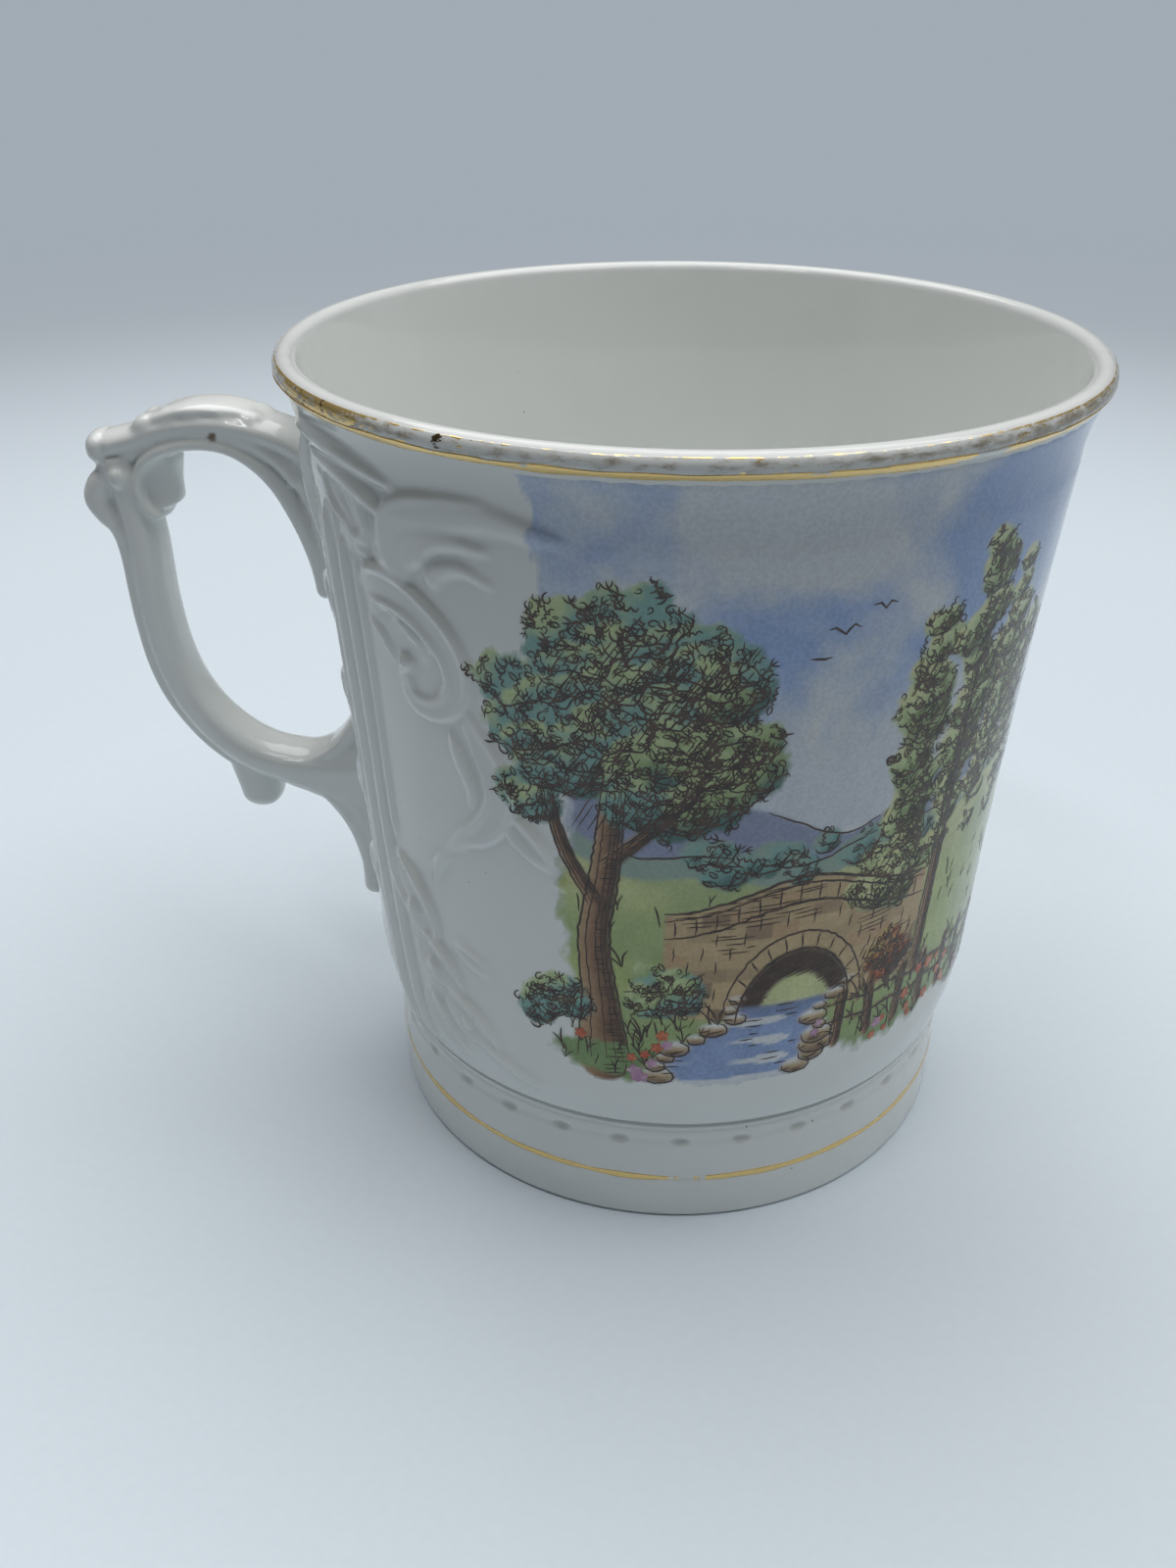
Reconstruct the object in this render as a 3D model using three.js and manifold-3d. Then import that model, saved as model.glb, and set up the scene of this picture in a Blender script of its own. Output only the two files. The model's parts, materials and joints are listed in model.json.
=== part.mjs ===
// Porcelain mug: a moulded cup with rocaille relief, a separately cast scroll handle
// luted on with slip, gold lines at the lip and foot, and a fired transfer print.
// Millimetres, +Z up. The mug stands on its foot ring, the handle points to -X
// and the print faces +X. The origin is under the middle of the whole mug.

import * as THREE from 'three';
import { mergeVertices } from 'three/addons/utils/BufferGeometryUtils.js';
import Module from 'manifold-3d';

const wasm = await Module();
wasm.setup();

// Driving dimensions of the cup
const MUG_HEIGHT = 90;
const LIP_RADIUS = 42;
const LIP_ROLL = 1.2;
const LIP_OVERHANG = 2.1;
const FLARE_HEIGHT = 9;
const SHOULDER_RADIUS = 36.1;
const SHOULDER_RISE = 9.6;
const WALL_HOLLOW = 0.4;
const WALL = 3.4;
const FLOOR = 4.5;
const INNER_CORNER = 7;
const LIP_RUN_OUT = 30;

// Driving dimensions of the foot
const FOOT_RADIUS = 34.2;
const FOOT_HEIGHT = 14.4;
const FOOT_CHAMFER = 0.6;
const FOOT_RING_WIDTH = 3.2;
const FOOT_RECESS = 3;
const COLLAR_STEP = 0.4;
const PIT_COUNT = 32;
const PIT_LENGTH = 2.6;
const PIT_WIDTH = 1.3;
const PIT_DEPTH = 0.45;
const PIT_HEIGHT = 11.3;

// Driving dimensions of the handle
const HANDLE_REACH = 28;
const HANDLE_DROP = 9;
const HANDLE_TAIL_HEIGHT = 20;
const GRIP_THICKNESS = 4.4;
const GRIP_WIDTH = 7;
const ARCH_ROLL = 2.6;
const ARCH_WIDTH = 6.4;
const RIB_THICKNESS = 1.7;
const RIB_WIDTH = 5.2;
const TAIL_THICKNESS = 3.2;
const TAIL_WIDTH = 6;
const ROOT_WIDTH = 8.4;
const ROOT_THICKNESS = 5;
const SPUR_THICKNESS = 5.4;
const WEB_THICKNESS = 2;
const WEB_WIDTH = 5.4;
const GUSSET_THICKNESS = 3.2;
const VOLUTE_RADIUS = 3.1;
const VOLUTE_WIDTH = 7.8;
const KNOB_RADIUS = 2.3;
const KNOB_WIDTH = 6;
const THUMB_RADIUS = 1.9;

// Driving dimensions of the joints and the fired decoration
const SLIP = 0.6;
const SLIP_CLEARANCE = 0.2;
const SKIN = 0.15;
const SKIN_CLEARANCE = 0.12;
const GILDING_FROM = -22;
const GILDING_TO = 50;
const RIM_LINE_ANGLE = -40;
const RIM_LINE_SPAN = 24;
const FOOT_LINE_HEIGHT = 6;
const FOOT_LINE_WIDTH = 0.9;
const PRINT_ANGLE = 204;
const PRINT_TOP_MARGIN = 0.8;
const PRINT_BOTTOM_MARGIN = 3.2;
const PRINT_CORNER_DRAW = 5;

// Fineness of the facets
const TURN_FACETS = 60;
const WALL_STATIONS = 4;
const ROLL_SIDES = 8;
const SWELLING_SIDES = 10;
const SWELLING_RINGS = 7;
const VOLUTE_FACETS = 14;

// Shares that shape the moulded rolls and strips
const END_FULLNESS = 0.12;
const RELIEF_ROUNDING = 0.16;
const SECTION_SOFTNESS = 0.8;
const WIDENING_START = 0.8;

// Heights and radii that follow from the driving dimensions
const LIP_CENTRE_RADIUS = LIP_RADIUS - LIP_ROLL;
const LIP_CENTRE_HEIGHT = MUG_HEIGHT - LIP_ROLL;
const NECK_RADIUS = LIP_RADIUS - LIP_OVERHANG;
const NECK_HEIGHT = MUG_HEIGHT - FLARE_HEIGHT;
const LIP_UNDERSIDE_ANGLE = -55;
const LIP_INSIDE_ANGLE = 200;
const LIP_UNDERSIDE = lipArc(LIP_UNDERSIDE_ANGLE, LIP_INSIDE_ANGLE, LIP_ROLL, 1)[0];
const LIP_UNDERSIDE_RADIUS = LIP_UNDERSIDE.x;
const LIP_UNDERSIDE_HEIGHT = LIP_UNDERSIDE.y;
const COLLAR_RADIUS = FOOT_RADIUS + COLLAR_STEP;
const SHOULDER_HEIGHT = FOOT_HEIGHT + SHOULDER_RISE;
const FLOOR_HEIGHT = FOOT_RECESS + FLOOR;
const HANDLE_CREST_HEIGHT = MUG_HEIGHT - HANDLE_DROP;

// Finishes
const porcelain = { color: 0xe6e9e7, roughness: 0.12, metalness: 0 };
const slip = { color: 0xe2e4e0, roughness: 0.2, metalness: 0 };
const gold = { color: 0xc79a45, roughness: 0.3, metalness: 1 };
const enamel = { color: 0x86a6a4, roughness: 0.25, metalness: 0 };

// Outer radius of the cup at a height, from the collar up to the underside of the lip
function wallRadius(z) {
  if (z <= SHOULDER_HEIGHT) {
    const t = Math.max(0, (z - FOOT_HEIGHT) / SHOULDER_RISE);
    return THREE.MathUtils.lerp(COLLAR_RADIUS, SHOULDER_RADIUS, t * (2 - t));
  }
  if (z <= NECK_HEIGHT) {
    const t = (z - SHOULDER_HEIGHT) / (NECK_HEIGHT - SHOULDER_HEIGHT);
    return THREE.MathUtils.lerp(SHOULDER_RADIUS, NECK_RADIUS, t) - 4 * WALL_HOLLOW * t * (1 - t);
  }
  const t = Math.min(1, (z - NECK_HEIGHT) / (LIP_UNDERSIDE_HEIGHT - NECK_HEIGHT));
  return THREE.MathUtils.lerp(NECK_RADIUS, LIP_UNDERSIDE_RADIUS, t * t);
}

// Inner radius of the cup at a height: the wall is as thin as the lip at its top and
// thickens on the way down
function innerRadius(z) {
  const drop = THREE.MathUtils.smoothstep(LIP_CENTRE_HEIGHT - z, 0, LIP_RUN_OUT);
  return wallRadius(z) - THREE.MathUtils.lerp(2 * LIP_ROLL, WALL, drop);
}

// Evenly spaced numbers from one value to another, both included
function steps(from, to, count) {
  return Array.from({ length: count + 1 }, (_, i) => THREE.MathUtils.lerp(from, to, i / count));
}

// Heights at which the cup's wall has a ring of corners, from the collar to the lip
const WALL_HEIGHTS = [
  ...steps(FOOT_HEIGHT, SHOULDER_HEIGHT, 2),
  ...steps(SHOULDER_HEIGHT, NECK_HEIGHT, WALL_STATIONS).slice(1),
  ...steps(NECK_HEIGHT, LIP_UNDERSIDE_HEIGHT, 2).slice(1),
];

// Points on the lip's roll between two angles in degrees, 0 pointing outwards and 90 up
function lipArc(from, to, radius, count) {
  return steps(from, to, count).map((degrees) => {
    const angle = THREE.MathUtils.degToRad(degrees);
    return new THREE.Vector2(
      LIP_CENTRE_RADIUS + radius * Math.cos(angle),
      LIP_CENTRE_HEIGHT + radius * Math.sin(angle),
    );
  });
}

// A profile of radius and height turned about the mug's axis
function turned(profile) {
  const geometry = new THREE.LatheGeometry(profile, TURN_FACETS);
  geometry.rotateX(Math.PI / 2);
  return geometry;
}

// A closed solid for cutting and joining
function solid(geometry) {
  geometry.deleteAttribute('normal');
  geometry.deleteAttribute('uv');
  const merged = mergeVertices(geometry, 1e-5);
  return new wasm.Manifold(new wasm.Mesh({
    numProp: 3,
    vertProperties: new Float32Array(merged.attributes.position.array),
    triVerts: new Uint32Array(merged.index.array),
  }));
}

// The solid back as a three.js geometry
function geometryOf(body) {
  const mesh = body.getMesh();
  const geometry = new THREE.BufferGeometry();
  geometry.setAttribute('position', new THREE.BufferAttribute(mesh.vertProperties, 3));
  geometry.setIndex(new THREE.BufferAttribute(mesh.triVerts, 1));
  geometry.computeVertexNormals();
  return geometry;
}

// A closed skin through rings of equally many points, with a fan over each end
function loft(rings) {
  const count = rings[0].length;
  const last = rings.length - 1;
  const points = rings.flat();
  const triangles = [];
  for (let i = 0; i < last; i += 1) {
    for (let k = 0; k < count; k += 1) {
      const next = (k + 1) % count;
      const a = i * count + k;
      const b = i * count + next;
      triangles.push(a, b, b + count, a, b + count, a + count);
    }
  }
  for (const [ring, flip] of [[0, true], [last, false]]) {
    const centre = points.length;
    const sum = rings[ring].reduce((total, p) => total.add(p), new THREE.Vector3());
    points.push(sum.divideScalar(count));
    for (let k = 0; k < count; k += 1) {
      const a = ring * count + k;
      const b = ring * count + (k + 1) % count;
      triangles.push(centre, flip ? b : a, flip ? a : b);
    }
  }
  const geometry = new THREE.BufferGeometry().setFromPoints(points);
  geometry.setIndex(triangles);
  return geometry;
}

// How full a strip is along its length: 1 in the middle, rounded off towards chosen ends
function fullness(t, roundStart, roundEnd) {
  const start = roundStart > 0 ? Math.min(1, t / roundStart) : 1;
  const end = roundEnd > 0 ? Math.min(1, (1 - t) / roundEnd) : 1;
  const rest = 1 - Math.min(start, end);
  return Math.max(END_FULLNESS, Math.sqrt(1 - rest * rest));
}

// Relief on the cup. Each strip follows a line of points given in degrees round from
// the handle and in percent of the panel between the foot collar and the lip.
const PANEL_LOW = FOOT_HEIGHT;
const PANEL_HIGH = LIP_UNDERSIDE_HEIGHT;
const RELIEF_ROOT = 0.9;

// A rounded bead, and a hollow band with two raised edges, as shares of width and height
const BEAD = [[0.5, 0], [0.36, 0.72], [0, 1], [-0.36, 0.72], [-0.5, 0]];
const CHANNEL = [[0.5, 0], [0.4, 1], [0.16, 0.45], [-0.16, 0.45], [-0.4, 1], [-0.5, 0]];

const RELIEF = [
  // Two reeds that border the panel beside the handle
  { section: BEAD, width: 2.4, height: 0.8, steps: 5,
    line: [[32, 88], [33, 70], [32.5, 50], [33, 30], [36, 3]] },
  { section: BEAD, width: 2.2, height: 0.8, steps: 5,
    line: [[37, 86], [38, 70], [38, 50], [38, 34], [41, 3]] },
  // Hanging leaf at the head of the reeds
  { section: CHANNEL, width: 5, height: 0.9, steps: 5,
    line: [[36, 96], [40, 93], [43.5, 86]] },
  // Shell of nested arcs under the lip
  { section: BEAD, width: 2.2, height: 0.7, steps: 7,
    line: [[50.5, 85], [48.8, 89], [51.5, 94.5], [58, 97], [66, 98], [74, 97.5]] },
  { section: BEAD, width: 1.8, height: 0.6, steps: 6,
    line: [[53, 87], [53.5, 90.5], [58.5, 93.6], [66, 94.5], [73, 93.5]] },
  { section: BEAD, width: 1.6, height: 0.55, steps: 5,
    line: [[55.7, 85.5], [57.5, 89], [62, 91.2], [68, 91]] },
  // Large scroll, curling in on itself at its lower end
  { section: CHANNEL, width: 3.6, height: 1, steps: 11,
    line: [[43, 82], [49, 82.6], [54.5, 80.6], [59, 76.8], [61, 71.8], [59.5, 67.4],
      [55.5, 65.4], [51.6, 66.6], [50.6, 69.6], [52.4, 71.6]] },
  // Small leaf inside the scroll
  { section: BEAD, width: 1.6, height: 0.6, steps: 4,
    line: [[48, 79], [52, 77.5], [54.6, 74.6]] },
  // Second scroll below, turning back towards the handle
  { section: CHANNEL, width: 3.2, height: 0.9, steps: 8,
    line: [[62.5, 65], [64.5, 61.5], [67, 57], [67, 52.5], [64, 49], [59, 47], [55, 43.5]] },
  { section: BEAD, width: 2.2, height: 0.8, steps: 4,
    line: [[68, 51.5], [71, 49.4], [74.6, 45.4]] },
  // Chain of husks trailing down towards the foot
  { section: CHANNEL, width: 5.4, height: 0.9, steps: 5,
    line: [[41.5, 36], [44, 30], [47, 22.8]] },
  { section: CHANNEL, width: 5, height: 0.85, steps: 5,
    line: [[46.5, 22], [50, 18], [54, 13]] },
  { section: CHANNEL, width: 4, height: 0.75, steps: 5,
    line: [[54, 13], [58, 9.5], [63, 6.5]] },
];

// One strip of relief, on the near side of the handle or mirrored to the far side
function reliefStrip({ section, width, height, steps: count, line }, side) {
  const span = (PANEL_HIGH - PANEL_LOW) / 100;
  const curve = new THREE.SplineCurve(line.map(([degrees, percent]) => new THREE.Vector2(
    THREE.MathUtils.degToRad(degrees) * SHOULDER_RADIUS,
    PANEL_LOW + percent * span,
  )));
  const outline = [...section, [-0.5, -1], [0.5, -1]];
  const rings = steps(0, 1, count).map((t) => {
    const centre = curve.getPoint(t);
    const travel = curve.getTangent(t);
    const full = fullness(t, RELIEF_ROUNDING, RELIEF_ROUNDING);
    const ring = outline.map(([across, up]) => {
      const aside = across * width * full;
      const z = centre.y + travel.x * aside;
      const turn = (centre.x - travel.y * aside) / SHOULDER_RADIUS;
      const raised = up < 0 ? -RELIEF_ROOT : up * height * full;
      const radius = wallRadius(z) + raised;
      return new THREE.Vector3(-radius * Math.cos(turn), -side * radius * Math.sin(turn), z);
    });
    return side > 0 ? ring : ring.reverse();
  });
  return solid(loft(rings));
}

// Cup: foot ring, wall, rolled lip, hollow inside and recessed base, turned in one
function cupProfile() {
  const innerLow = FLOOR_HEIGHT + INNER_CORNER;
  const innerHeights = [
    ...steps(LIP_UNDERSIDE_HEIGHT, NECK_HEIGHT, 2),
    ...steps(NECK_HEIGHT, innerLow, WALL_STATIONS - 1).slice(1),
  ];
  const ringInside = FOOT_RADIUS - FOOT_CHAMFER - FOOT_RING_WIDTH;
  const cornerRadius = innerRadius(innerLow);
  const corner = new THREE.QuadraticBezierCurve(
    new THREE.Vector2(cornerRadius, innerLow),
    new THREE.Vector2(cornerRadius, FLOOR_HEIGHT),
    new THREE.Vector2(cornerRadius - INNER_CORNER, FLOOR_HEIGHT),
  );
  return [
    new THREE.Vector2(0, FOOT_RECESS),
    new THREE.Vector2(ringInside - FOOT_RECESS, FOOT_RECESS),
    new THREE.Vector2(ringInside, 0),
    new THREE.Vector2(FOOT_RADIUS - FOOT_CHAMFER, 0),
    new THREE.Vector2(FOOT_RADIUS, FOOT_CHAMFER),
    new THREE.Vector2(FOOT_RADIUS, FOOT_HEIGHT - COLLAR_STEP),
    ...WALL_HEIGHTS.map((z) => new THREE.Vector2(wallRadius(z), z)),
    ...lipArc(LIP_UNDERSIDE_ANGLE, LIP_INSIDE_ANGLE, LIP_ROLL, 5).slice(1),
    ...innerHeights.map((z) => new THREE.Vector2(innerRadius(z), z)),
    ...corner.getPoints(3).slice(1),
    new THREE.Vector2(0, FLOOR_HEIGHT),
  ];
}

// One lozenge-shaped pit, sunk into the foot's wall at an angle
function footPit(angle) {
  const pit = new THREE.OctahedronGeometry(1);
  pit.scale(PIT_DEPTH, PIT_LENGTH / 2, PIT_WIDTH / 2);
  pit.translate(FOOT_RADIUS, 0, PIT_HEIGHT);
  pit.rotateZ(angle);
  return solid(pit);
}

function cupBody() {
  let cup = solid(turned(cupProfile()));
  for (const strip of RELIEF) {
    for (const side of [1, -1]) {
      cup = cup.add(reliefStrip(strip, side));
    }
  }
  for (let i = 0; i < PIT_COUNT; i += 1) {
    cup = cup.subtract(footPit((2 * Math.PI * (i + 0.5)) / PIT_COUNT));
  }
  return geometryOf(cup);
}

// Handle. Its lines lie in the plane through the mug's axis and are given in percent of
// the reach out from the wall and in percent of the height from the tail to the crest.
const GRIP_LINE = [[84, 90], [80.8, 81], [80.2, 74], [81.8, 65.5], [82.6, 58.5], [81.4, 51],
  [77, 43.6], [69, 37.2], [56.4, 31.8], [42.4, 29.3], [28, 28.9], [12, 29.2], [-4, 30.3]];
const CREST_LINE = [[-5, 85], [6, 93.4], [19, 97.4], [35, 99], [49.7, 98.8], [62.5, 97.2],
  [73, 94.9], [82, 93.2], [88, 92.8]];
const WEB_LINE = [[7.9, 86.9], [26.4, 94.9], [53.2, 95.9], [75.4, 92.5], [82.1, 90.2]];
const UNDER_LINE = [[69, 88], [63.5, 91.6], [53.4, 93.8], [42.6, 94.2], [33.5, 93], [22.6, 90.4],
  [15.5, 86.4], [10.6, 81], [7.4, 75.5], [6, 70.6], [5.6, 66.5], [5.2, 62.8]];
const RIB_LINE = [[93, 81.5], [91.2, 76.7], [88.4, 71.5], [88.5, 65], [88.9, 59], [88.2, 51],
  [84.3, 43], [75.9, 35.6], [64, 30], [55, 27.6]];
const UPPER_ROOT_LINE = [[15, 93], [8, 87], [4, 80], [2, 72]];
const LOWER_ROOT_LINE = [[14, 29], [7, 25], [3.5, 18], [3, 7]];
const GUSSET_LINE = [[36, 29.4], [20, 30.8], [9, 33], [0, 36.6]];
const SPUR_LINE = [[52, 29.5], [52, 25.2], [52, 22], [52.1, 18.7]];
const TAIL_LINE = [[31, 28.4], [19, 25.6], [11, 19.4], [7, 12], [5.8, 5.6], [5.2, -0.4]];
const VOLUTE_CENTRE = [72, 85];
const KNOB_CENTRE = [94, 82];
const CORNER_CENTRE = [85.4, 88.2];
const THUMB_CENTRE = [88.6, 92.5];

// A point of the handle's plane as radius and height
function handlePoint([out, up]) {
  const z = THREE.MathUtils.lerp(HANDLE_TAIL_HEIGHT, HANDLE_CREST_HEIGHT, up / 100);
  return new THREE.Vector2(wallRadius(z) + (out / 100) * HANDLE_REACH, z);
}

// A moulded roll along a line of the handle, with soft-cornered sections
function roll(line, count, sizeAt) {
  const curve = new THREE.SplineCurve(line.map(handlePoint));
  const soften = (value) => Math.sign(value) * Math.abs(value) ** SECTION_SOFTNESS;
  const rings = steps(0, 1, count).map((t) => {
    const centre = curve.getPoint(t);
    const travel = curve.getTangent(t);
    const [thickness, width] = sizeAt(t);
    return Array.from({ length: ROLL_SIDES }, (_, k) => {
      const angle = (2 * Math.PI * (k + 0.5)) / ROLL_SIDES;
      const up = (thickness / 2) * soften(Math.cos(angle));
      const aside = (width / 2) * soften(Math.sin(angle));
      return new THREE.Vector3(-centre.x + travel.y * up, aside, centre.y + travel.x * up);
    });
  });
  return solid(loft(rings));
}

// A rounded swelling of the handle, wider than it is thick
function swelling(place, radius, width) {
  const centre = handlePoint(place);
  const ball = new THREE.SphereGeometry(1, SWELLING_SIDES, SWELLING_RINGS);
  ball.scale(radius, width / 2, radius);
  ball.translate(-centre.x, 0, centre.y);
  return solid(ball);
}

// The scroll's eye, a thick disc with rounded faces and a boss in the middle, in shares of
// its radius and width
const VOLUTE_FACE = [[0, -0.5], [0.3, -0.5], [0.42, -0.45], [0.72, -0.45], [1, -0.32]];

function volute() {
  const centre = handlePoint(VOLUTE_CENTRE);
  const lower = VOLUTE_FACE.map(([out, aside]) => (
    new THREE.Vector2(out * VOLUTE_RADIUS, aside * VOLUTE_WIDTH)
  ));
  const upper = lower.map((p) => new THREE.Vector2(p.x, -p.y)).reverse();
  const disc = new THREE.LatheGeometry([...lower, ...upper], VOLUTE_FACETS);
  disc.translate(-centre.x, 0, centre.y);
  return solid(disc);
}

// Everything the handle's mould holds, before its ends are fitted to the cup's wall
function castHandle() {
  const widen = (from, to, t) => (
    THREE.MathUtils.lerp(from, to, THREE.MathUtils.smoothstep(t, WIDENING_START, 1))
  );
  const parts = [
    roll(GRIP_LINE, 20, (t) => [GRIP_THICKNESS, widen(GRIP_WIDTH, ROOT_WIDTH, t)]),
    roll(CREST_LINE, 15, (t) => {
      const full = fullness(t, 0, 0.08);
      return [ARCH_ROLL * full, widen(ARCH_WIDTH, ROOT_WIDTH, 1 - t) * full];
    }),
    roll(UNDER_LINE, 16, (t) => {
      const full = fullness(t, 0, 0.1);
      const thickness = widen(ARCH_ROLL, TAIL_THICKNESS, t);
      return [thickness * full, (GRIP_WIDTH + (TAIL_WIDTH - GRIP_WIDTH) * t) * full];
    }),
    ...[UPPER_ROOT_LINE, LOWER_ROOT_LINE].map((line) => roll(line, 5, (t) => {
      const full = fullness(t, 0.3, 0.4);
      return [ROOT_THICKNESS * full, GRIP_WIDTH * full];
    })),
    roll(WEB_LINE, 6, () => [WEB_THICKNESS, WEB_WIDTH]),
    roll(GUSSET_LINE, 5, () => [GUSSET_THICKNESS, GRIP_WIDTH]),
    roll(RIB_LINE, 13, (t) => {
      const full = fullness(t, 0.1, 0.12);
      return [RIB_THICKNESS * full, RIB_WIDTH * full];
    }),
    roll(SPUR_LINE, 6, (t) => {
      const full = fullness(t, 0, 0.3);
      return [SPUR_THICKNESS * full, RIB_WIDTH * full];
    }),
    roll(TAIL_LINE, 9, (t) => {
      const full = fullness(t, 0, 0.12);
      return [TAIL_THICKNESS * full, TAIL_WIDTH * full];
    }),
    volute(),
    swelling(KNOB_CENTRE, KNOB_RADIUS, KNOB_WIDTH),
    swelling(CORNER_CENTRE, KNOB_RADIUS, KNOB_WIDTH),
    swelling(THUMB_CENTRE, THUMB_RADIUS, KNOB_WIDTH),
  ];
  return parts.reduce((joined, part) => joined.add(part));
}

// A solid core that stands off from the cup's wall by a distance, for fitting the handle
function wallCore(offset) {
  const heights = [0, ...WALL_HEIGHTS, MUG_HEIGHT];
  const side = heights.map((z) => new THREE.Vector2(wallRadius(z) + offset, z));
  return solid(turned([new THREE.Vector2(0, 0), ...side, new THREE.Vector2(0, MUG_HEIGHT)]));
}

// A slab of space above or below the middle of the handle
function halfSpace(above) {
  const middle = (HANDLE_TAIL_HEIGHT + HANDLE_CREST_HEIGHT) / 2;
  const size = 4 * MUG_HEIGHT;
  const box = new THREE.BoxGeometry(size, size, size);
  box.translate(0, 0, middle + (above ? size / 2 : -size / 2));
  return solid(box);
}

const cast = castHandle();
const slipStart = wallCore(SLIP_CLEARANCE);
const slipEnd = wallCore(SLIP_CLEARANCE + SLIP);
const handleSeat = wallCore(SLIP_CLEARANCE + SLIP + SLIP_CLEARANCE);
const slipLayer = cast.intersect(slipEnd).subtract(slipStart);

function handle() {
  return geometryOf(cast.subtract(handleSeat));
}

// The slip that lutes one root of the handle to the cup
function handleJoint(upper) {
  return geometryOf(slipLayer.intersect(halfSpace(upper)));
}

// A thin ring of gold over the lip's roll between two angles
function lipRing([from, to], count) {
  const inner = lipArc(from, to, LIP_ROLL + SKIN_CLEARANCE, count);
  const outer = lipArc(from, to, LIP_ROLL + SKIN_CLEARANCE + SKIN, count);
  return turned([...outer, ...inner.reverse(), outer[0]]);
}

// A thin ring of gold round the foot
function footLine() {
  const inside = FOOT_RADIUS + SKIN_CLEARANCE;
  const low = FOOT_LINE_HEIGHT - FOOT_LINE_WIDTH / 2;
  const high = FOOT_LINE_HEIGHT + FOOT_LINE_WIDTH / 2;
  return turned([
    new THREE.Vector2(inside + SKIN, low),
    new THREE.Vector2(inside + SKIN, high),
    new THREE.Vector2(inside, high),
    new THREE.Vector2(inside, low),
    new THREE.Vector2(inside + SKIN, low),
  ]);
}

// The print: a thin skin of enamel round the side away from the handle, as a vignette
// whose sides draw in towards its top and bottom
function transferPrint() {
  const low = FOOT_HEIGHT + PRINT_BOTTOM_MARGIN;
  const high = LIP_UNDERSIDE_HEIGHT - PRINT_TOP_MARGIN;
  const columns = Math.ceil((PRINT_ANGLE * TURN_FACETS) / 360);
  const rings = steps(0, 1, columns).map((across) => {
    const skinPoint = (z, offset) => {
      const middle = (2 * (z - low)) / (high - low) - 1;
      const half = PRINT_ANGLE / 2 - PRINT_CORNER_DRAW * middle ** 4;
      const turn = THREE.MathUtils.degToRad(THREE.MathUtils.lerp(-half, half, across));
      const radius = wallRadius(z) + SKIN_CLEARANCE + offset;
      return new THREE.Vector3(radius * Math.cos(turn), radius * Math.sin(turn), z);
    };
    const between = WALL_HEIGHTS.filter((z) => z > low + SKIN && z < high - SKIN);
    const heights = [low, ...between, high];
    const outer = heights.map((z) => skinPoint(z, SKIN));
    const inner = heights.map((z) => skinPoint(z, 0)).reverse();
    return [...outer, ...inner];
  });
  return bandLoft(rings);
}

// A closed skin through narrow rings made of two facing rows, with strips over the ends
function bandLoft(rings) {
  const count = rings[0].length;
  const last = rings.length - 1;
  const triangles = [];
  for (let i = 0; i < last; i += 1) {
    for (let k = 0; k < count; k += 1) {
      const a = i * count + k;
      const b = i * count + (k + 1) % count;
      triangles.push(a, b + count, b, a, a + count, b + count);
    }
  }
  for (let k = 0; k < count / 2 - 1; k += 1) {
    const facing = count - 1 - k;
    triangles.push(k, k + 1, facing, k + 1, facing - 1, facing);
    const end = last * count;
    triangles.push(end + k, end + facing, end + k + 1, end + k + 1, end + facing, end + facing - 1);
  }
  const geometry = new THREE.BufferGeometry().setFromPoints(rings.flat());
  geometry.setIndex(triangles);
  return geometry;
}

function piece(name, geometry, finish) {
  const mesh = new THREE.Mesh(geometry, new THREE.MeshStandardMaterial(finish));
  mesh.name = name;
  return mesh;
}

const GILDING = [GILDING_FROM, GILDING_TO];
const RIM_LINE = [RIM_LINE_ANGLE - RIM_LINE_SPAN / 2, RIM_LINE_ANGLE + RIM_LINE_SPAN / 2];

const cup = new THREE.Group();
cup.add(
  piece('cup_body', cupBody(), porcelain),
  piece('handle', handle(), porcelain),
  piece('upper_handle_joint', handleJoint(true), slip),
  piece('lower_handle_joint', handleJoint(false), slip),
  piece('rim_gilding', lipRing(GILDING, 2), gold),
  piece('rim_gold_line', lipRing(RIM_LINE, 1), gold),
  piece('foot_gold_line', footLine(), gold),
  piece('transfer_print', transferPrint(), enamel),
);

// The origin moves from the cup's axis to under the middle of the whole mug
const extent = new THREE.Box3().setFromObject(cup);
cup.position.x = -(extent.min.x + extent.max.x) / 2;

const mug = new THREE.Group();
mug.add(cup);

export default mug;
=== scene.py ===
# %% [markdown]
# # A porcelain mug with a scroll handle
#
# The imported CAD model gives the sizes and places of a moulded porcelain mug. This lesson
# gives each of its pieces the surface that a potter and a decorator would give it: a cast
# cup with raised scrollwork under a clear glaze, a cast handle, worn gold and a fired print.
#
# Blender works in metres. The mug's sizes are written in millimetres here, as on a potter's
# drawing, and `MM` turns them into metres when a mesh is made.

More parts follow.
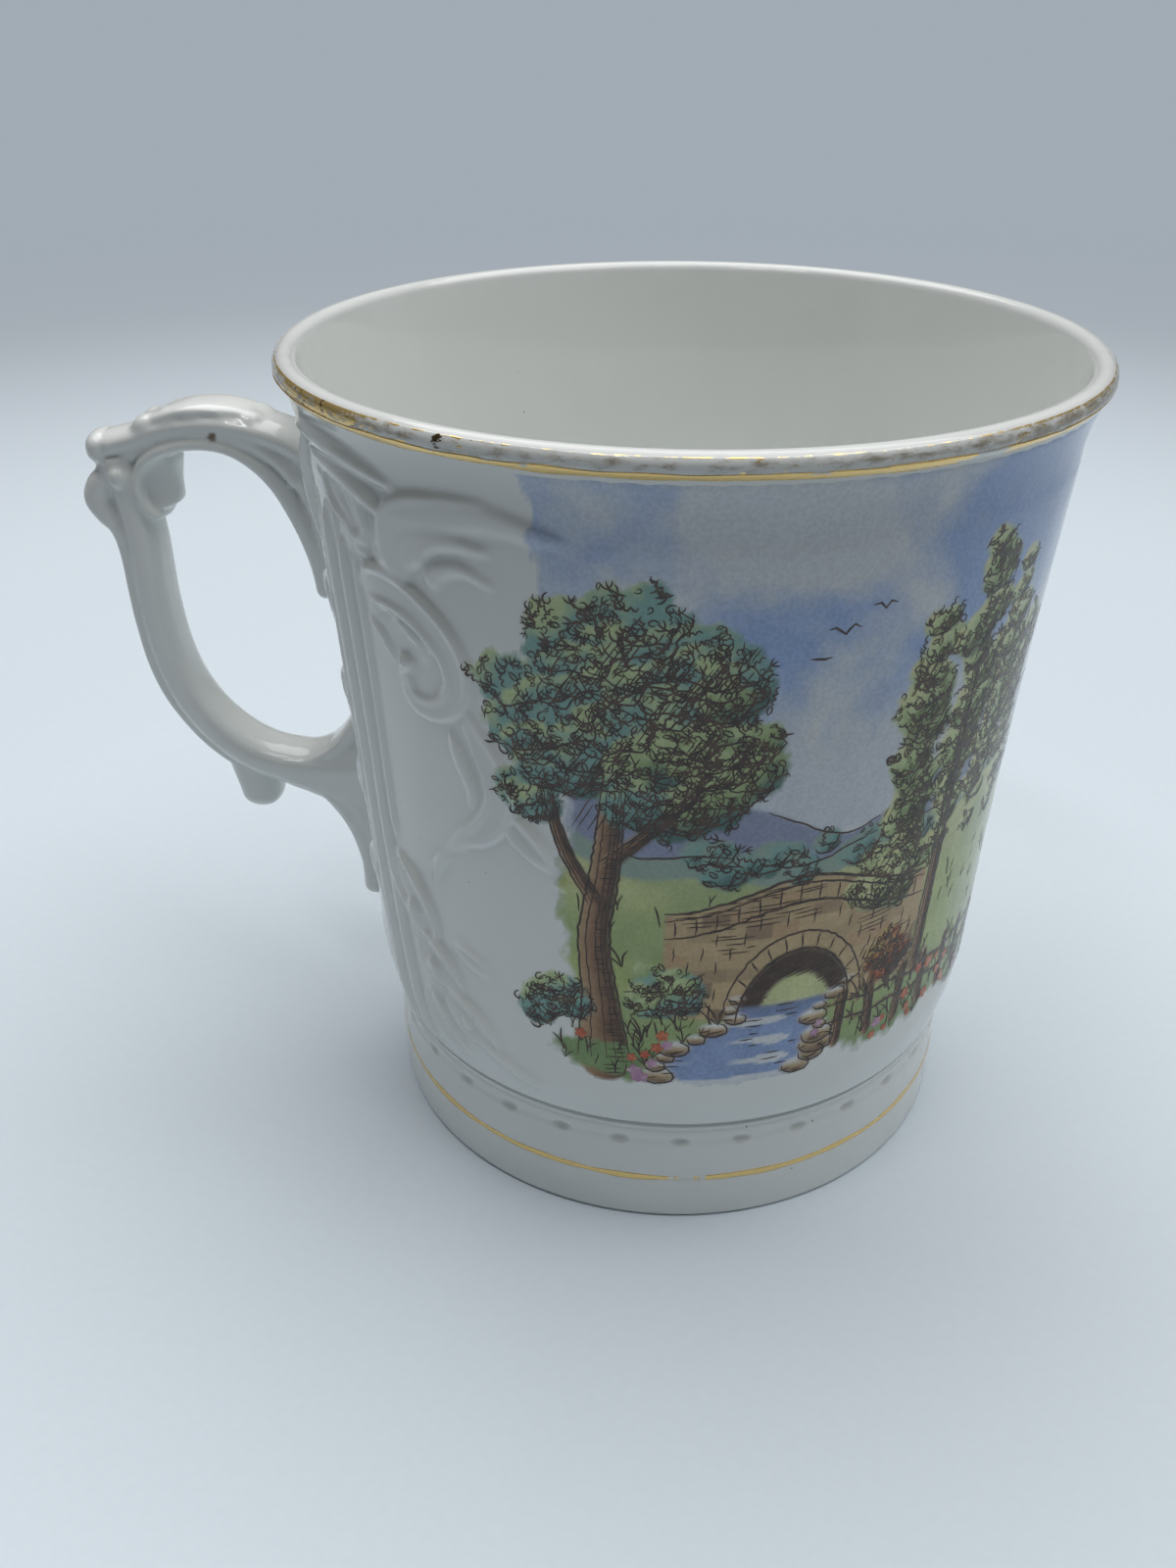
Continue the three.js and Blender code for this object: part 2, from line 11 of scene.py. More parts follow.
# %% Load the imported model
import json
import math
import bpy
import numpy as np
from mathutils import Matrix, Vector

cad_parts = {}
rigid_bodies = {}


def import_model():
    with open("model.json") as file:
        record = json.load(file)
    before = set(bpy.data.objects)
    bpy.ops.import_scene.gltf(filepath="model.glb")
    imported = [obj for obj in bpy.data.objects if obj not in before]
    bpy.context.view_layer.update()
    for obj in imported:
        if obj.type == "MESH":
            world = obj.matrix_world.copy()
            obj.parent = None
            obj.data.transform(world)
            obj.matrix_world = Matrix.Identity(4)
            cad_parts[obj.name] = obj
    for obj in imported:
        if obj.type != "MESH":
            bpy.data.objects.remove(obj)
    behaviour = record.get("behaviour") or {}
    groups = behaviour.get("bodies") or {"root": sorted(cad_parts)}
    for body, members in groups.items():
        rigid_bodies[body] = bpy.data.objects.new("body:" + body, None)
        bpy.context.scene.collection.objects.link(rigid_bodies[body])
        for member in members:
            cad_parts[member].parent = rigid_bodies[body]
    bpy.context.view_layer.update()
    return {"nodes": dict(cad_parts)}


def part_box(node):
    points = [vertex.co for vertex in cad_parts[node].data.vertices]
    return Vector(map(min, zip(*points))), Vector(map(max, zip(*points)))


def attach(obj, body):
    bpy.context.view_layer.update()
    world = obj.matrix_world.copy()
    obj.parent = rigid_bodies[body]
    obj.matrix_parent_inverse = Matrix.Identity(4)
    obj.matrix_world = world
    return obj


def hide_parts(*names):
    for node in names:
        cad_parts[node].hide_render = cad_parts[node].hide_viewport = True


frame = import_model()
MM = 0.001
print("pieces in the frame:", ", ".join(sorted(frame["nodes"])))

# %% [markdown]
# ## Sizes from the frame
#
# A learner is tempted to type every size again. It is safer to read what the frame already
# knows: the cup's box gives the axis that everything is turned about, the lip's radius and
# the height. Only the curves of the wall, which a box can't tell, are written out.

# %% Read the cup's axis, height and lip
def node_box(node):
    low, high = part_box(node)
    return np.array(low) / MM, np.array(high) / MM


cup_low, cup_high = node_box("cup_body")
AXIS_X = (cup_low[0] + cup_high[0]) / 2
LIP_RADIUS = (cup_high[1] - cup_low[1]) / 2
MUG_HEIGHT = cup_high[2]
print(f"axis at x = {AXIS_X:.2f} mm, lip radius {LIP_RADIUS:.2f} mm, height {MUG_HEIGHT:.2f} mm")

# %% The wall's curve, from the foot to the underside of the lip
FOOT_RADIUS = 34.2
FOOT_HEIGHT = 14.4
COLLAR_RADIUS = FOOT_RADIUS + 0.4
SHOULDER_RADIUS = 36.1
SHOULDER_HEIGHT = FOOT_HEIGHT + 9.6
NECK_RADIUS = LIP_RADIUS - 2.1
NECK_HEIGHT = MUG_HEIGHT - 9
WALL_HOLLOW = 0.4
WALL = 3.4
LIP_ROLL = 1.2
LIP_CENTRE = np.array([LIP_RADIUS - LIP_ROLL, MUG_HEIGHT - LIP_ROLL])
LIP_UNDERSIDE_ANGLE = -55
LIP_INSIDE_ANGLE = 165


def lip_point(degrees, radius=LIP_ROLL):
    """Radius and height of a point on the lip's roll: 0 points outwards and 90 up."""
    angle = np.radians(degrees)
    return LIP_CENTRE[0] + radius * np.cos(angle), LIP_CENTRE[1] + radius * np.sin(angle)


LIP_UNDERSIDE = lip_point(LIP_UNDERSIDE_ANGLE)


def wall_radius(z):
    """Outer radius of the bare wall at a height."""
    z = np.asarray(z, dtype=float)
    t = np.clip((z - FOOT_HEIGHT) / (SHOULDER_HEIGHT - FOOT_HEIGHT), 0, 1)
    low = COLLAR_RADIUS + (SHOULDER_RADIUS - COLLAR_RADIUS) * t * (2 - t)
    t = np.clip((z - SHOULDER_HEIGHT) / (NECK_HEIGHT - SHOULDER_HEIGHT), 0, 1)
    middle = SHOULDER_RADIUS + (NECK_RADIUS - SHOULDER_RADIUS) * t - 4 * WALL_HOLLOW * t * (1 - t)
    t = np.clip((z - NECK_HEIGHT) / (LIP_UNDERSIDE[1] - NECK_HEIGHT), 0, 1)
    high = NECK_RADIUS + (LIP_UNDERSIDE[0] - NECK_RADIUS) * t**2
    return np.where(z <= SHOULDER_HEIGHT, low, np.where(z <= NECK_HEIGHT, middle, high))


print("wall radius at mid height:", round(float(wall_radius(MUG_HEIGHT / 2)), 2), "mm")

# %% [markdown]
# ## Camera
#
# The camera stands about twenty centimetres from the mug's foot, a little to the right of its
# axis, and looks down at thirty degrees. Its place was found by fitting a pinhole camera to
# the ellipses of the rim and the foot, so perspective and tilt agree with the photograph.

# %% Set up the camera
CAMERA_PLACE = np.array([5.18 + AXIS_X, -148.22, 122.10])
CAMERA_AIM = Vector((-0.0904, 0.8614, -0.4998))
CAMERA_LENS = 32.41
CAMERA_SENSOR = 36.0
CAMERA_CLIP = 0.005

camera_data = bpy.data.cameras.new("camera")
camera_data.lens = CAMERA_LENS
camera_data.sensor_width = CAMERA_SENSOR
camera_data.clip_start = CAMERA_CLIP
camera = bpy.data.objects.new("camera", camera_data)
camera.location = CAMERA_PLACE * MM
camera.rotation_euler = CAMERA_AIM.to_track_quat("-Z", "Y").to_euler()
bpy.context.scene.collection.objects.link(camera)
bpy.context.scene.camera = camera
bpy.context.scene.view_settings.view_transform = "Standard"
camera_reach = (camera.location - Vector((AXIS_X * MM, 0, 0))).length
print("camera", round(camera_reach, 3), "m from the cup's foot")

# %% [markdown]
# ## Small helpers
#
# Every piece ends as a plain mesh at the origin, with its place in its points. The helpers
# make a mesh from millimetres, store values on its points, apply modifiers, and give the
# finished piece to the frame: which body it rides on and which CAD node it stands for.

# %% Helpers that make and seat a piece
def make_mesh(name, points, faces=(), edges=()):
    """A smooth mesh from points in millimetres."""
    mesh = bpy.data.meshes.new(name)
    mesh.from_pydata((np.asarray(points, dtype=float) * MM).tolist(), edges, faces)
    mesh.shade_smooth()
    return mesh


def store(mesh, name, values, kind="FLOAT"):
    """Keeps a number or a colour for each point of a mesh under a name."""
    layer = mesh.attributes.new(name, kind, "POINT").data
    layer.foreach_set("color" if kind == "FLOAT_COLOR" else "value", np.ravel(values))


def flat_ring(reach, turn):
    """Points in the plane of the table, at some reach from the origin."""
    return np.stack([reach * np.cos(turn), reach * np.sin(turn), 0 * turn], axis=1)


def fan(sides):
    """Faces from a middle point, which comes first, to a ring of points round it."""
    return [(0, 1 + k, 1 + (k + 1) % sides) for k in range(sides)]


def link_object(name, mesh):
    piece = bpy.data.objects.new(name, mesh)
    bpy.context.scene.collection.objects.link(piece)
    return piece


def seat_piece(piece, node):
    """Gives a finished piece to the frame."""
    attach(piece, "root")
    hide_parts(node)
    triangles = sum(len(face.vertices) - 2 for face in piece.data.polygons)
    print(f"{piece.name}: {triangles} triangles, stands for {node}")


def plain_mesh(piece):
    """Applies a piece's modifiers and leaves their result as its mesh."""
    graph = bpy.context.evaluated_depsgraph_get()
    result = bpy.data.meshes.new_from_object(piece.evaluated_get(graph))
    piece.modifiers.clear()
    piece.data = result
    return piece


print("pieces are made in millimetres; one is", MM, "m")

# %% [markdown]
# ## Node materials in few lines
#
# A material is a small graph. These helpers add a node, set its constants and link its
# sockets, so that each finish below reads as a recipe. Numbers that are the same all over
# a surface go straight on the shader's sockets, because an exporter can read them there.

# %% A helper for node trees
class NodeTree:
    """A node tree and short ways to add nodes to it."""

    def __init__(self, tree):
        self.tree = tree

    def node(self, kind, links=None, **settings):
        """Adds a node, feeds its sockets and gives its outputs."""
        made = self.tree.nodes.new(kind)
        for key, value in settings.items():
            setattr(made, key, value)
        for socket, source in (links or {}).items():
            self.feed(made.inputs[socket], source)
        return made.outputs

    def feed(self, socket, source):
        """Links a socket to another one, or sets it to a constant."""
        if isinstance(source, bpy.types.NodeSocket):
            self.tree.links.new(source, socket)
        else:
            socket.default_value = source

    def math(self, operation, first, second=0.0):
        return self.node("ShaderNodeMath", {0: first, 1: second}, operation=operation)[0]


print("a node tree is filled by naming nodes, links and settings")

# %% A helper for materials
class Recipe(NodeTree):
    """A material and what its finishes are mixed from."""

    def __init__(self, name):
        self.material = bpy.data.materials.new(name)
        self.material.use_nodes = True
        super().__init__(self.material.node_tree)
        self.shader = self.tree.nodes["Principled BSDF"]

    def place(self):
        return self.node("ShaderNodeTexCoord")["Object"]

    def noise(self, scale, detail=2.0, roughness=0.5, place=None):
        links = {"Vector": place or self.place(), "Scale": scale, "Detail": detail}
        links["Roughness"] = roughness
        return self.node("ShaderNodeTexNoise", links)["Fac"]

    def step(self, value, low, high):
        """0 below low, 1 above high, smooth between."""
        links = {"Value": value, "From Min": low, "From Max": high}
        return self.node("ShaderNodeMapRange", links, interpolation_type="SMOOTHSTEP")["Result"]

    def vector(self, operation, first, second=(0.0, 0.0, 0.0)):
        """A vector operation that gives one number."""
        links = {0: first, 1: second}
        return self.node("ShaderNodeVectorMath", links, operation=operation)["Value"]

    def mix(self, factor, first, second):
        links = {"Factor": factor, 6: first, 7: second}
        return self.node("ShaderNodeMix", links, data_type="RGBA")[2]

    def attribute(self, name, output="Fac"):
        return self.node("ShaderNodeAttribute", attribute_name=name)[output]

    def bump(self, height, distance):
        links = {"Height": height, "Distance": distance, "Strength": 1.0}
        self.feed(self.shader.inputs["Normal"], self.node("ShaderNodeBump", links)["Normal"])

    def set(self, **sockets):
        """Feeds the shader's sockets by their names in small letters."""
        for name, source in sockets.items():
            self.feed(self.shader.inputs[name.replace("_", " ").title()], source)


def rgba(red, green, blue):
    return (red, green, blue, 1.0)


print("recipes add nodes to a Principled shader")

# %% [markdown]
# ## Stage and light
#
# White porcelain shows whatever is around it, so a plain stage matters. The floor is a wide
# disc of pale paper whose colour grows a little darker far away, a painted shade where the
# lamp's light falls off; it fades into the backdrop and gives little of the far light back to
# the mug. A large soft lamp hangs above and behind the mug, and the front is lit mostly by
# light that comes back from the floor near it. That leaves the front wall in soft shade and
# puts bright lines on everything that faces up. A narrow, weak strip in front adds small
# glints, as a window would.

# %% Floor
FLOOR_REACH = 14.0
FLOOR_RINGS = [0.1, 0.2, 0.3, 0.4, 0.5, 0.7, 1.0, 2.0, 5.0, FLOOR_REACH]
FLOOR_SIDES = 64
FLOOR_NEAR = rgba(0.72, 0.80, 0.865)
FLOOR_FAR = rgba(0.42, 0.47, 0.52)
FLOOR_UNLIT = rgba(0.05, 0.055, 0.06)
FLOOR_ROUGHNESS = 0.65
FIBRE_SCALE, FIBRE_SHARE = 900.0, 0.04
BACKDROP_TONE = rgba(0.36, 0.41, 0.46)
# Where the floor begins to change and where it has changed, in metres from the middle
DARKER, UNLIT, HAZY = (0.20, 0.50), (0.11, 0.26), (0.38, 0.75)


def floor_material():
    paper = Recipe("pale_paper")
    away = paper.vector("LENGTH", paper.place())
    path = paper.node("ShaderNodeLightPath")
    # Painted shade: the paper's own colour grows darker away from the middle, where the light
    # falls off
    tone = paper.mix(paper.step(away, *DARKER), FLOOR_NEAR, FLOOR_FAR)
    unlit = paper.math("MULTIPLY", path["Is Diffuse Ray"], paper.step(away, *UNLIT))
    tone = paper.mix(unlit, tone, FLOOR_UNLIT)
    fibre = paper.step(paper.noise(FIBRE_SCALE, 4.0), 0.3, 0.7)
    fibre = paper.math("MULTIPLY", fibre, FIBRE_SHARE)
    paper.set(base_color=paper.mix(fibre, tone, FLOOR_FAR), roughness=FLOOR_ROUGHNESS)
    seen = paper.math("MAXIMUM", path["Is Camera Ray"], path["Is Glossy Ray"])
    haze = paper.math("MULTIPLY", seen, paper.step(away, *HAZY))
    backdrop = paper.node("ShaderNodeEmission", {"Color": BACKDROP_TONE, "Strength": 1.0})[0]
    links = {"Fac": haze, 1: paper.shader.outputs[0], 2: backdrop}
    both = paper.node("ShaderNodeMixShader", links)[0]
    paper.feed(paper.tree.nodes["Material Output"].inputs["Surface"], both)
    return paper.material


def floor_mesh():
    turn = np.linspace(0, 2 * np.pi, FLOOR_SIDES, endpoint=False)
    points = [np.zeros((1, 3))] + [flat_ring(reach, turn) / MM for reach in FLOOR_RINGS]
    faces = fan(FLOOR_SIDES)
    for ring_number in range(len(FLOOR_RINGS) - 1):
        first = 1 + ring_number * FLOOR_SIDES
        for k in range(FLOOR_SIDES):
            here, other = first + k, first + (k + 1) % FLOOR_SIDES
            faces.append((here, here + FLOOR_SIDES, other + FLOOR_SIDES, other))
    return make_mesh("floor", np.concatenate(points), faces)


floor = link_object("floor", floor_mesh())
floor.data.materials.append(floor_material())
print("floor reaches", FLOOR_REACH, "m")

# %% Lamps and world
def soft_lamp(name, place, aim, size, power):
    data = bpy.data.lights.new(name, "AREA")
    data.shape = "RECTANGLE"
    data.size, data.size_y = size
    data.energy = power
    lamp = bpy.data.objects.new(name, data)
    lamp.location = place
    lamp.rotation_euler = (Vector(aim) - Vector(place)).to_track_quat("-Z", "Y").to_euler()
    bpy.context.scene.collection.objects.link(lamp)


LAMPS = [
    # name, place, what it points at, size in metres, power in watts
    ("ceiling_light", (0.16, 0.34, 1.8), (0.0, 0.0, 0.0), (3.1, 1.8), 47.0),
    ("window_strip", (-0.25, -0.35, 0.95), (0.0, 0.0, 0.05), (0.30, 0.07), 0.8),
]
WORLD_LIGHT = 0.02
WORLD_TINT = rgba(0.80, 0.88, 1.0)


def make_world():
    world = bpy.data.worlds.new("studio")
    world.use_nodes = True
    studio = NodeTree(world.node_tree)
    light = studio.tree.nodes["Background"]
    studio.feed(light.inputs["Color"], WORLD_TINT)
    studio.feed(light.inputs["Strength"], WORLD_LIGHT)
    shown = studio.node("ShaderNodeLightPath")["Is Camera Ray"]
    seen = studio.node("ShaderNodeBackground", {"Color": BACKDROP_TONE})[0]
    both = studio.node("ShaderNodeMixShader", {"Fac": shown, 1: light.outputs[0], 2: seen})[0]
    studio.feed(studio.tree.nodes["World Output"].inputs["Surface"], both)
    bpy.context.scene.world = world


for lamp in LAMPS:
    soft_lamp(*lamp)
make_world()
print(len(LAMPS), "soft lamps, world light", WORLD_LIGHT)

# %% [markdown]
# ## The glaze
#
# Porcelain is white clay under a clear glassy glaze. The glaze gathers in hollows, where it
# looks a little grey-green, and the colour there is darkened further as painted shade. The
# glaze is never perfectly even: it waves slightly and holds a few specks from the kiln, one of
# them larger, on the handle's arch. The cup stores how hollow each point is in an attribute
# named `pool_and_shade`, and the material only has to read it.

# %% Porcelain
PORCELAIN_WHITE = rgba(0.86, 0.885, 0.865)
PORCELAIN_CLOUDY = rgba(0.80, 0.82, 0.805)
# The tone of hollows: partly pooled glaze, partly painted shade
PORCELAIN_POOLED_AND_SHADED = rgba(0.60, 0.64, 0.61)
CLOUD_SCALE, CLOUD_SHARE = 60.0, 0.35
SPECK_TONE = rgba(0.16, 0.11, 0.05)
SPECK_SCALE, SPECK_PATCHES = 1500.0, 45.0
BIG_SPECK = (AXIS_X - 50.6, -3.6, 78.6)
BIG_SPECK_EDGE = (0.0006, 0.0011)
RAGGED_SCALE, RAGGED_REACH = 1800.0, 0.0007
GLAZE_ROUGHNESS = 0.07
GLAZE_WAVES, GLAZE_WAVE_DEPTH = 110.0, 0.00016


def glazed_porcelain():
    glaze = Recipe("glazed_porcelain")
    place = glaze.place()
    cloud = glaze.step(glaze.noise(CLOUD_SCALE, 3.0, place=place), 0.35, 0.7)
    cloud = glaze.math("MULTIPLY", cloud, CLOUD_SHARE)
    white = glaze.mix(cloud, PORCELAIN_WHITE, PORCELAIN_CLOUDY)
    # Hollows are darker: partly glaze pooled there, partly painted shade
    pooled_and_shaded = glaze.mix(glaze.attribute("pool_and_shade"), white, PORCELAIN_POOLED_AND_SHADED)
    specks = glaze.step(glaze.noise(SPECK_SCALE, 1.0, place=place), 0.795, 0.83)
    rare = glaze.step(glaze.noise(SPECK_PATCHES, 1.0, place=place), 0.60, 0.66)
    apart = glaze.vector("DISTANCE", place, tuple(value * MM for value in BIG_SPECK))
    ragged = glaze.math("MULTIPLY", glaze.noise(RAGGED_SCALE, 2.0, place=place), RAGGED_REACH)
    away = glaze.step(glaze.math("ADD", apart, ragged), *BIG_SPECK_EDGE)
    dots = glaze.math("MAXIMUM", glaze.math("MULTIPLY", specks, rare),
                      glaze.math("SUBTRACT", 1.0, away))
    glaze.set(base_color=glaze.mix(dots, pooled_and_shaded, SPECK_TONE), roughness=GLAZE_ROUGHNESS)
    glaze.bump(glaze.noise(GLAZE_WAVES, 2.0, place=place), GLAZE_WAVE_DEPTH)
    return glaze.material


porcelain = glazed_porcelain()
print("made", porcelain.name)

# %% [markdown]
# ## The cup's relief
#
# The mould presses scrolls, husks and reeds into the wall beside the handle. A sculptor would
# carve them; here each one is a strip: a line over the wall, given in degrees round from the
# handle and in millimetres above the table, with a width, a height and a section. The height
# at a point is the tallest strip over it, so strips may cross as they do in a carving.

# %% Lines and sections
RELIEF_RADIUS = 37.5
CURVE_SAMPLES = 24
BEAD_FULLNESS = 0.6
CHANNEL_EDGE, CHANNEL_EDGE_WIDTH, CHANNEL_FLOOR = 0.74, 0.17, 0.36
HUSK_RISE, VEIN_DEPTH, VEIN_WIDTH = 1.15, 0.35, 0.16
BLUNT_REACH = 0.1
LEAF_LEAN, LEAF_FULLNESS = 0.8, 0.75
TAIL_START, TAIL_LOSS, TAIL_BEND = 0.08, 0.75, 1.5


def smooth_line(points, count):
    """A Catmull-Rom curve through the points, at equal steps along its length."""
    points = np.asarray(points, dtype=float)
    padded = np.vstack([2 * points[0] - points[1], points, 2 * points[-1] - points[-2]])
    t = np.linspace(0, 1, CURVE_SAMPLES, endpoint=False)[:, None]
    runs = []
    for a, b, c, d in zip(padded, padded[1:], padded[2:], padded[3:]):
        runs.append(0.5 * (2 * b + (c - a) * t + (2 * a - 5 * b + 4 * c - d) * t**2
                           + (3 * b - a - 3 * c + d) * t**3))
    dense = np.vstack(runs + [points[-1:]])
    along = np.concatenate([[0], np.cumsum(np.linalg.norm(np.diff(dense, axis=0), axis=1))])
    even = np.linspace(0, along[-1], count)
    return np.stack([np.interp(even, along, dense[:, i]) for i in range(dense.shape[1])], axis=1)


def bead(across):
    return np.clip(1 - across**2, 0, 1) ** BEAD_FULLNESS


def channel(across):
    edge = np.exp(-(((np.abs(across) - CHANNEL_EDGE) / CHANNEL_EDGE_WIDTH) ** 2))
    middle = CHANNEL_FLOOR * np.clip(1 - across**4, 0, 1)
    return np.clip(np.maximum(edge, middle), 0, 1) * (np.abs(across) < 1)


def facet(across):
    return np.clip(1 - np.abs(across), 0, 1)


def husk(across):
    vein = VEIN_DEPTH * np.exp(-((across / VEIN_WIDTH) ** 2))
    return np.clip(HUSK_RISE * channel(across) - vein, 0, 1)


def blunt(t):
    from_end = np.clip(1 - np.minimum(t, 1 - t) / BLUNT_REACH, 0, 1)
    return np.sqrt(np.clip(1 - from_end**2, 0, 1))


def leaf(t):
    return np.sin(np.pi * np.clip(t, 0, 1) ** LEAF_LEAN) ** LEAF_FULLNESS


def tail(t):
    return np.sqrt(np.clip(t / TAIL_START, 0, 1)) * (1 - TAIL_LOSS * t**TAIL_BEND)


print("sections:", ", ".join(section.__name__ for section in (bead, channel, facet, husk)))

# %% The strips of relief on one side of the handle
STRIP_STEPS = 160
THINNEST = 1e-3
RELIEF = [
    # section, width, height, outline, line of [degrees, height]
    (bead, 2.3, 0.75, blunt, [[32.5, 78], [32, 64], [31.5, 50], [32, 36], [34.5, 24],
                              [38, 15.2]]),
    (bead, 2.1, 0.75, blunt, [[37.4, 76], [37.2, 64], [37, 50], [37.2, 40], [39.5, 26],
                              [44, 15.2]]),
    (bead, 1.3, 0.45, blunt, [[41, 75], [40.6, 62], [40.2, 48], [40.4, 42]]),
    (husk, 6.0, 0.9, leaf, [[35, 82.8], [39.4, 81.6], [43.2, 79], [44.6, 75.6]]),
    (bead, 1.2, 0.6, blunt, [[41.2, 77.6], [43, 76.8], [45.6, 77.2]]),
    (bead, 1.1, 0.5, blunt, [[41.8, 76.2], [43.4, 75.6], [45.4, 75.8]]),
    (facet, 3.6, 1.0, leaf, [[26, 85], [36, 85.1], [45, 84.4], [54, 83.2]]),
    (facet, 4.6, 1.1, leaf, [[31, 83.8], [39, 83.2], [46, 81.8], [52, 79.8]]),
    (facet, 3.0, 0.8, leaf, [[27, 84], [24.4, 80.4], [24, 76.4], [26.6, 72]]),
    (husk, 3.8, 0.8, leaf, [[29.6, 69.6], [26, 67.4], [23.4, 62.4]]),
    (husk, 3.8, 0.8, leaf, [[29.2, 58.6], [25.6, 56.4], [23, 51.4]]),
    (husk, 3.8, 0.8, leaf, [[29, 47.6], [25.6, 45.4], [23.2, 40.4]]),
    (husk, 3.8, 0.8, leaf, [[29.6, 36.6], [26.2, 34.4], [24.2, 29.4]]),
    (bead, 1.5, 0.6, leaf, [[28.8, 80], [28, 66], [27.6, 52], [28, 38], [29.5, 26], [32, 15.4]]),
    (bead, 5.4, 0.6, tail, [[52.8, 73.8], [51.2, 76.6], [51.6, 79.2], [54.8, 81], [60.5, 82],
                             [68, 82.4], [77, 81.4]]),
    (bead, 1.7, 0.72, tail, [[52, 74.6], [49.9, 77.4], [50.6, 80.4], [54.2, 82.3], [60.4, 83.4],
                             [68, 83.9]]),
    (bead, 3.2, 0.55, tail, [[55, 75.8], [54.4, 77.9], [57.2, 79.2], [61.4, 79.6], [67.5, 79.4]]),
    (bead, 1.5, 0.65, tail, [[56, 76.6], [57.2, 78], [60.4, 79.2], [64.4, 79.4]]),
    (bead, 2.0, 0.5, tail, [[57.4, 74.9], [59.8, 76.5], [63.6, 77.2], [68, 76.2]]),
    (channel, 4.6, 1.0, tail, [[42.4, 71.8], [47, 72.9], [51.4, 72.7], [55.2, 71.6], [58.6, 69.8],
                               [60.6, 67.4], [60.8, 65], [58.8, 62.8], [55.6, 61.7], [52.4, 61.6],
                               [50.6, 62.8], [50.4, 64.6], [51.8, 65.4]]),
    (bead, 1.9, 0.9, blunt, [[50.4, 66.4], [51, 65.8], [51.6, 65.4]]),
    (husk, 2.8, 0.6, leaf, [[48.6, 70.8], [52.4, 70.3], [55.2, 68.6], [55.6, 66.4]]),
    (bead, 1.3, 0.45, leaf, [[42.6, 68.6], [46, 67.4], [48.4, 64.8]]),
    (channel, 3.6, 0.85, leaf, [[61.4, 62.6], [63.4, 59.8], [65.6, 57], [66.6, 54.4], [65.4, 51.6],
                                [62.4, 49.2], [58.6, 47.6], [55, 45.2]]),
    (bead, 1.6, 0.6, leaf, [[58.4, 60], [59.8, 57], [61.4, 54.2], [61, 51.6]]),
    (husk, 3.2, 0.8, leaf, [[66.8, 52.4], [70.2, 50.2], [74.8, 46.8]]),
    (bead, 1.4, 0.6, blunt, [[75.4, 46.4], [76, 45.8], [76.8, 45.2]]),
    (bead, 1.4, 0.45, leaf, [[55.6, 44.8], [52.4, 42.8], [50.4, 39.4]]),
    (husk, 6.6, 0.95, leaf, [[38.2, 40.2], [43, 37.2], [47.2, 33.8], [48.6, 30.4]]),
    (bead, 1.7, 0.95, blunt, [[43.4, 35.4], [44, 34.6], [44.6, 33.8]]),
    (husk, 5.8, 0.9, leaf, [[43.6, 31.6], [47.4, 30], [52, 28], [55.4, 26.4]]),
    (bead, 1.5, 0.9, blunt, [[47.6, 28.8], [48.4, 28.1], [49.2, 27.4]]),
    (husk, 2.6, 0.6, leaf, [[53.6, 32.6], [57.6, 32.2], [62.4, 30.6]]),
    (husk, 5.0, 0.8, leaf, [[50.4, 25.6], [54.6, 24], [59.4, 21.8], [63, 20.2]]),
    (bead, 1.3, 0.75, blunt, [[55.2, 23.4], [56, 22.8], [56.8, 22.3]]),
    (bead, 1.6, 0.7, leaf, [[58.6, 20.8], [62, 19.8], [66.8, 18.6]]),
    (bead, 1.3, 0.5, leaf, [[63, 19], [67.4, 18], [72, 17.4]]),
    (husk, 4.2, 0.75, leaf, [[44.6, 24.6], [47.4, 21.6], [51.6, 18.8], [55.4, 17.2]]),
]


def strip_height(strip, degrees, z):
    """Height of one strip over points of the wall."""
    section, width, height, outline, line = strip
    stretch = np.array([math.radians(1) * RELIEF_RADIUS, 1.0])
    path = smooth_line(np.array(line) * stretch, STRIP_STEPS)
    points = np.stack([degrees * stretch[0], z], axis=-1)
    near = (points > path.min(axis=0) - width) & (points < path.max(axis=0) + width)
    near = near.all(axis=-1)
    result = np.zeros(points.shape[:-1])
    if not near.any():
        return result
    apart = points[near][:, None, :] - path[None, :, :]
    distance = np.linalg.norm(apart, axis=2)
    nearest = distance.argmin(axis=1)
    t = np.linspace(0, 1, len(path))[nearest]
    full = outline(t)
    half = np.maximum(width / 2 * full, THINNEST)
    across = distance[np.arange(len(nearest)), nearest] / half
    result[near] = height * np.sqrt(full) * section(across)
    return result


def relief_height(degrees, z):
    """Height of the relief over points of the wall; both sides of the handle are alike."""
    folded = np.where(degrees > 180, 360 - degrees, degrees)
    return np.max([strip_height(strip, folded, z) for strip in RELIEF], axis=0)


print(len(RELIEF), "strips of relief on each side of the handle")

# %% [markdown]
# ## The cup
#
# The cup is turned, so its mesh is a stack of rings. Fine rings everywhere would waste
# triangles: the relief needs a point every third of a millimetre, the smooth inside doesn't.
# So the cup is made in bands with their own columns, and `stitch` closes the seam between
# two bands whose columns differ by walking round both rings at once.

# %% Rings and profiles
def ring(degrees, radius, z):
    """Points round the cup's axis; 0 degrees is at the handle and 90 at the front."""
    turn = np.radians(degrees)
    x, y = AXIS_X - radius * np.cos(turn), -radius * np.sin(turn)
    return np.stack([x, y, z + 0 * turn], axis=-1)


def ring_quads(index):
    """Faces between the rows of a closed grid of points."""
    low, high = index[:-1], index[1:]
    quads = np.stack([low, np.roll(low, -1, 1), np.roll(high, -1, 1), high], axis=-1)
    return quads.reshape(-1, 4).tolist()


def next_column(degrees, i):
    """Angle of the column after i: 360 closes the ring, and 720 comes after the last."""
    if i + 1 < len(degrees):
        return degrees[i + 1]
    return 360 if i < len(degrees) else 720


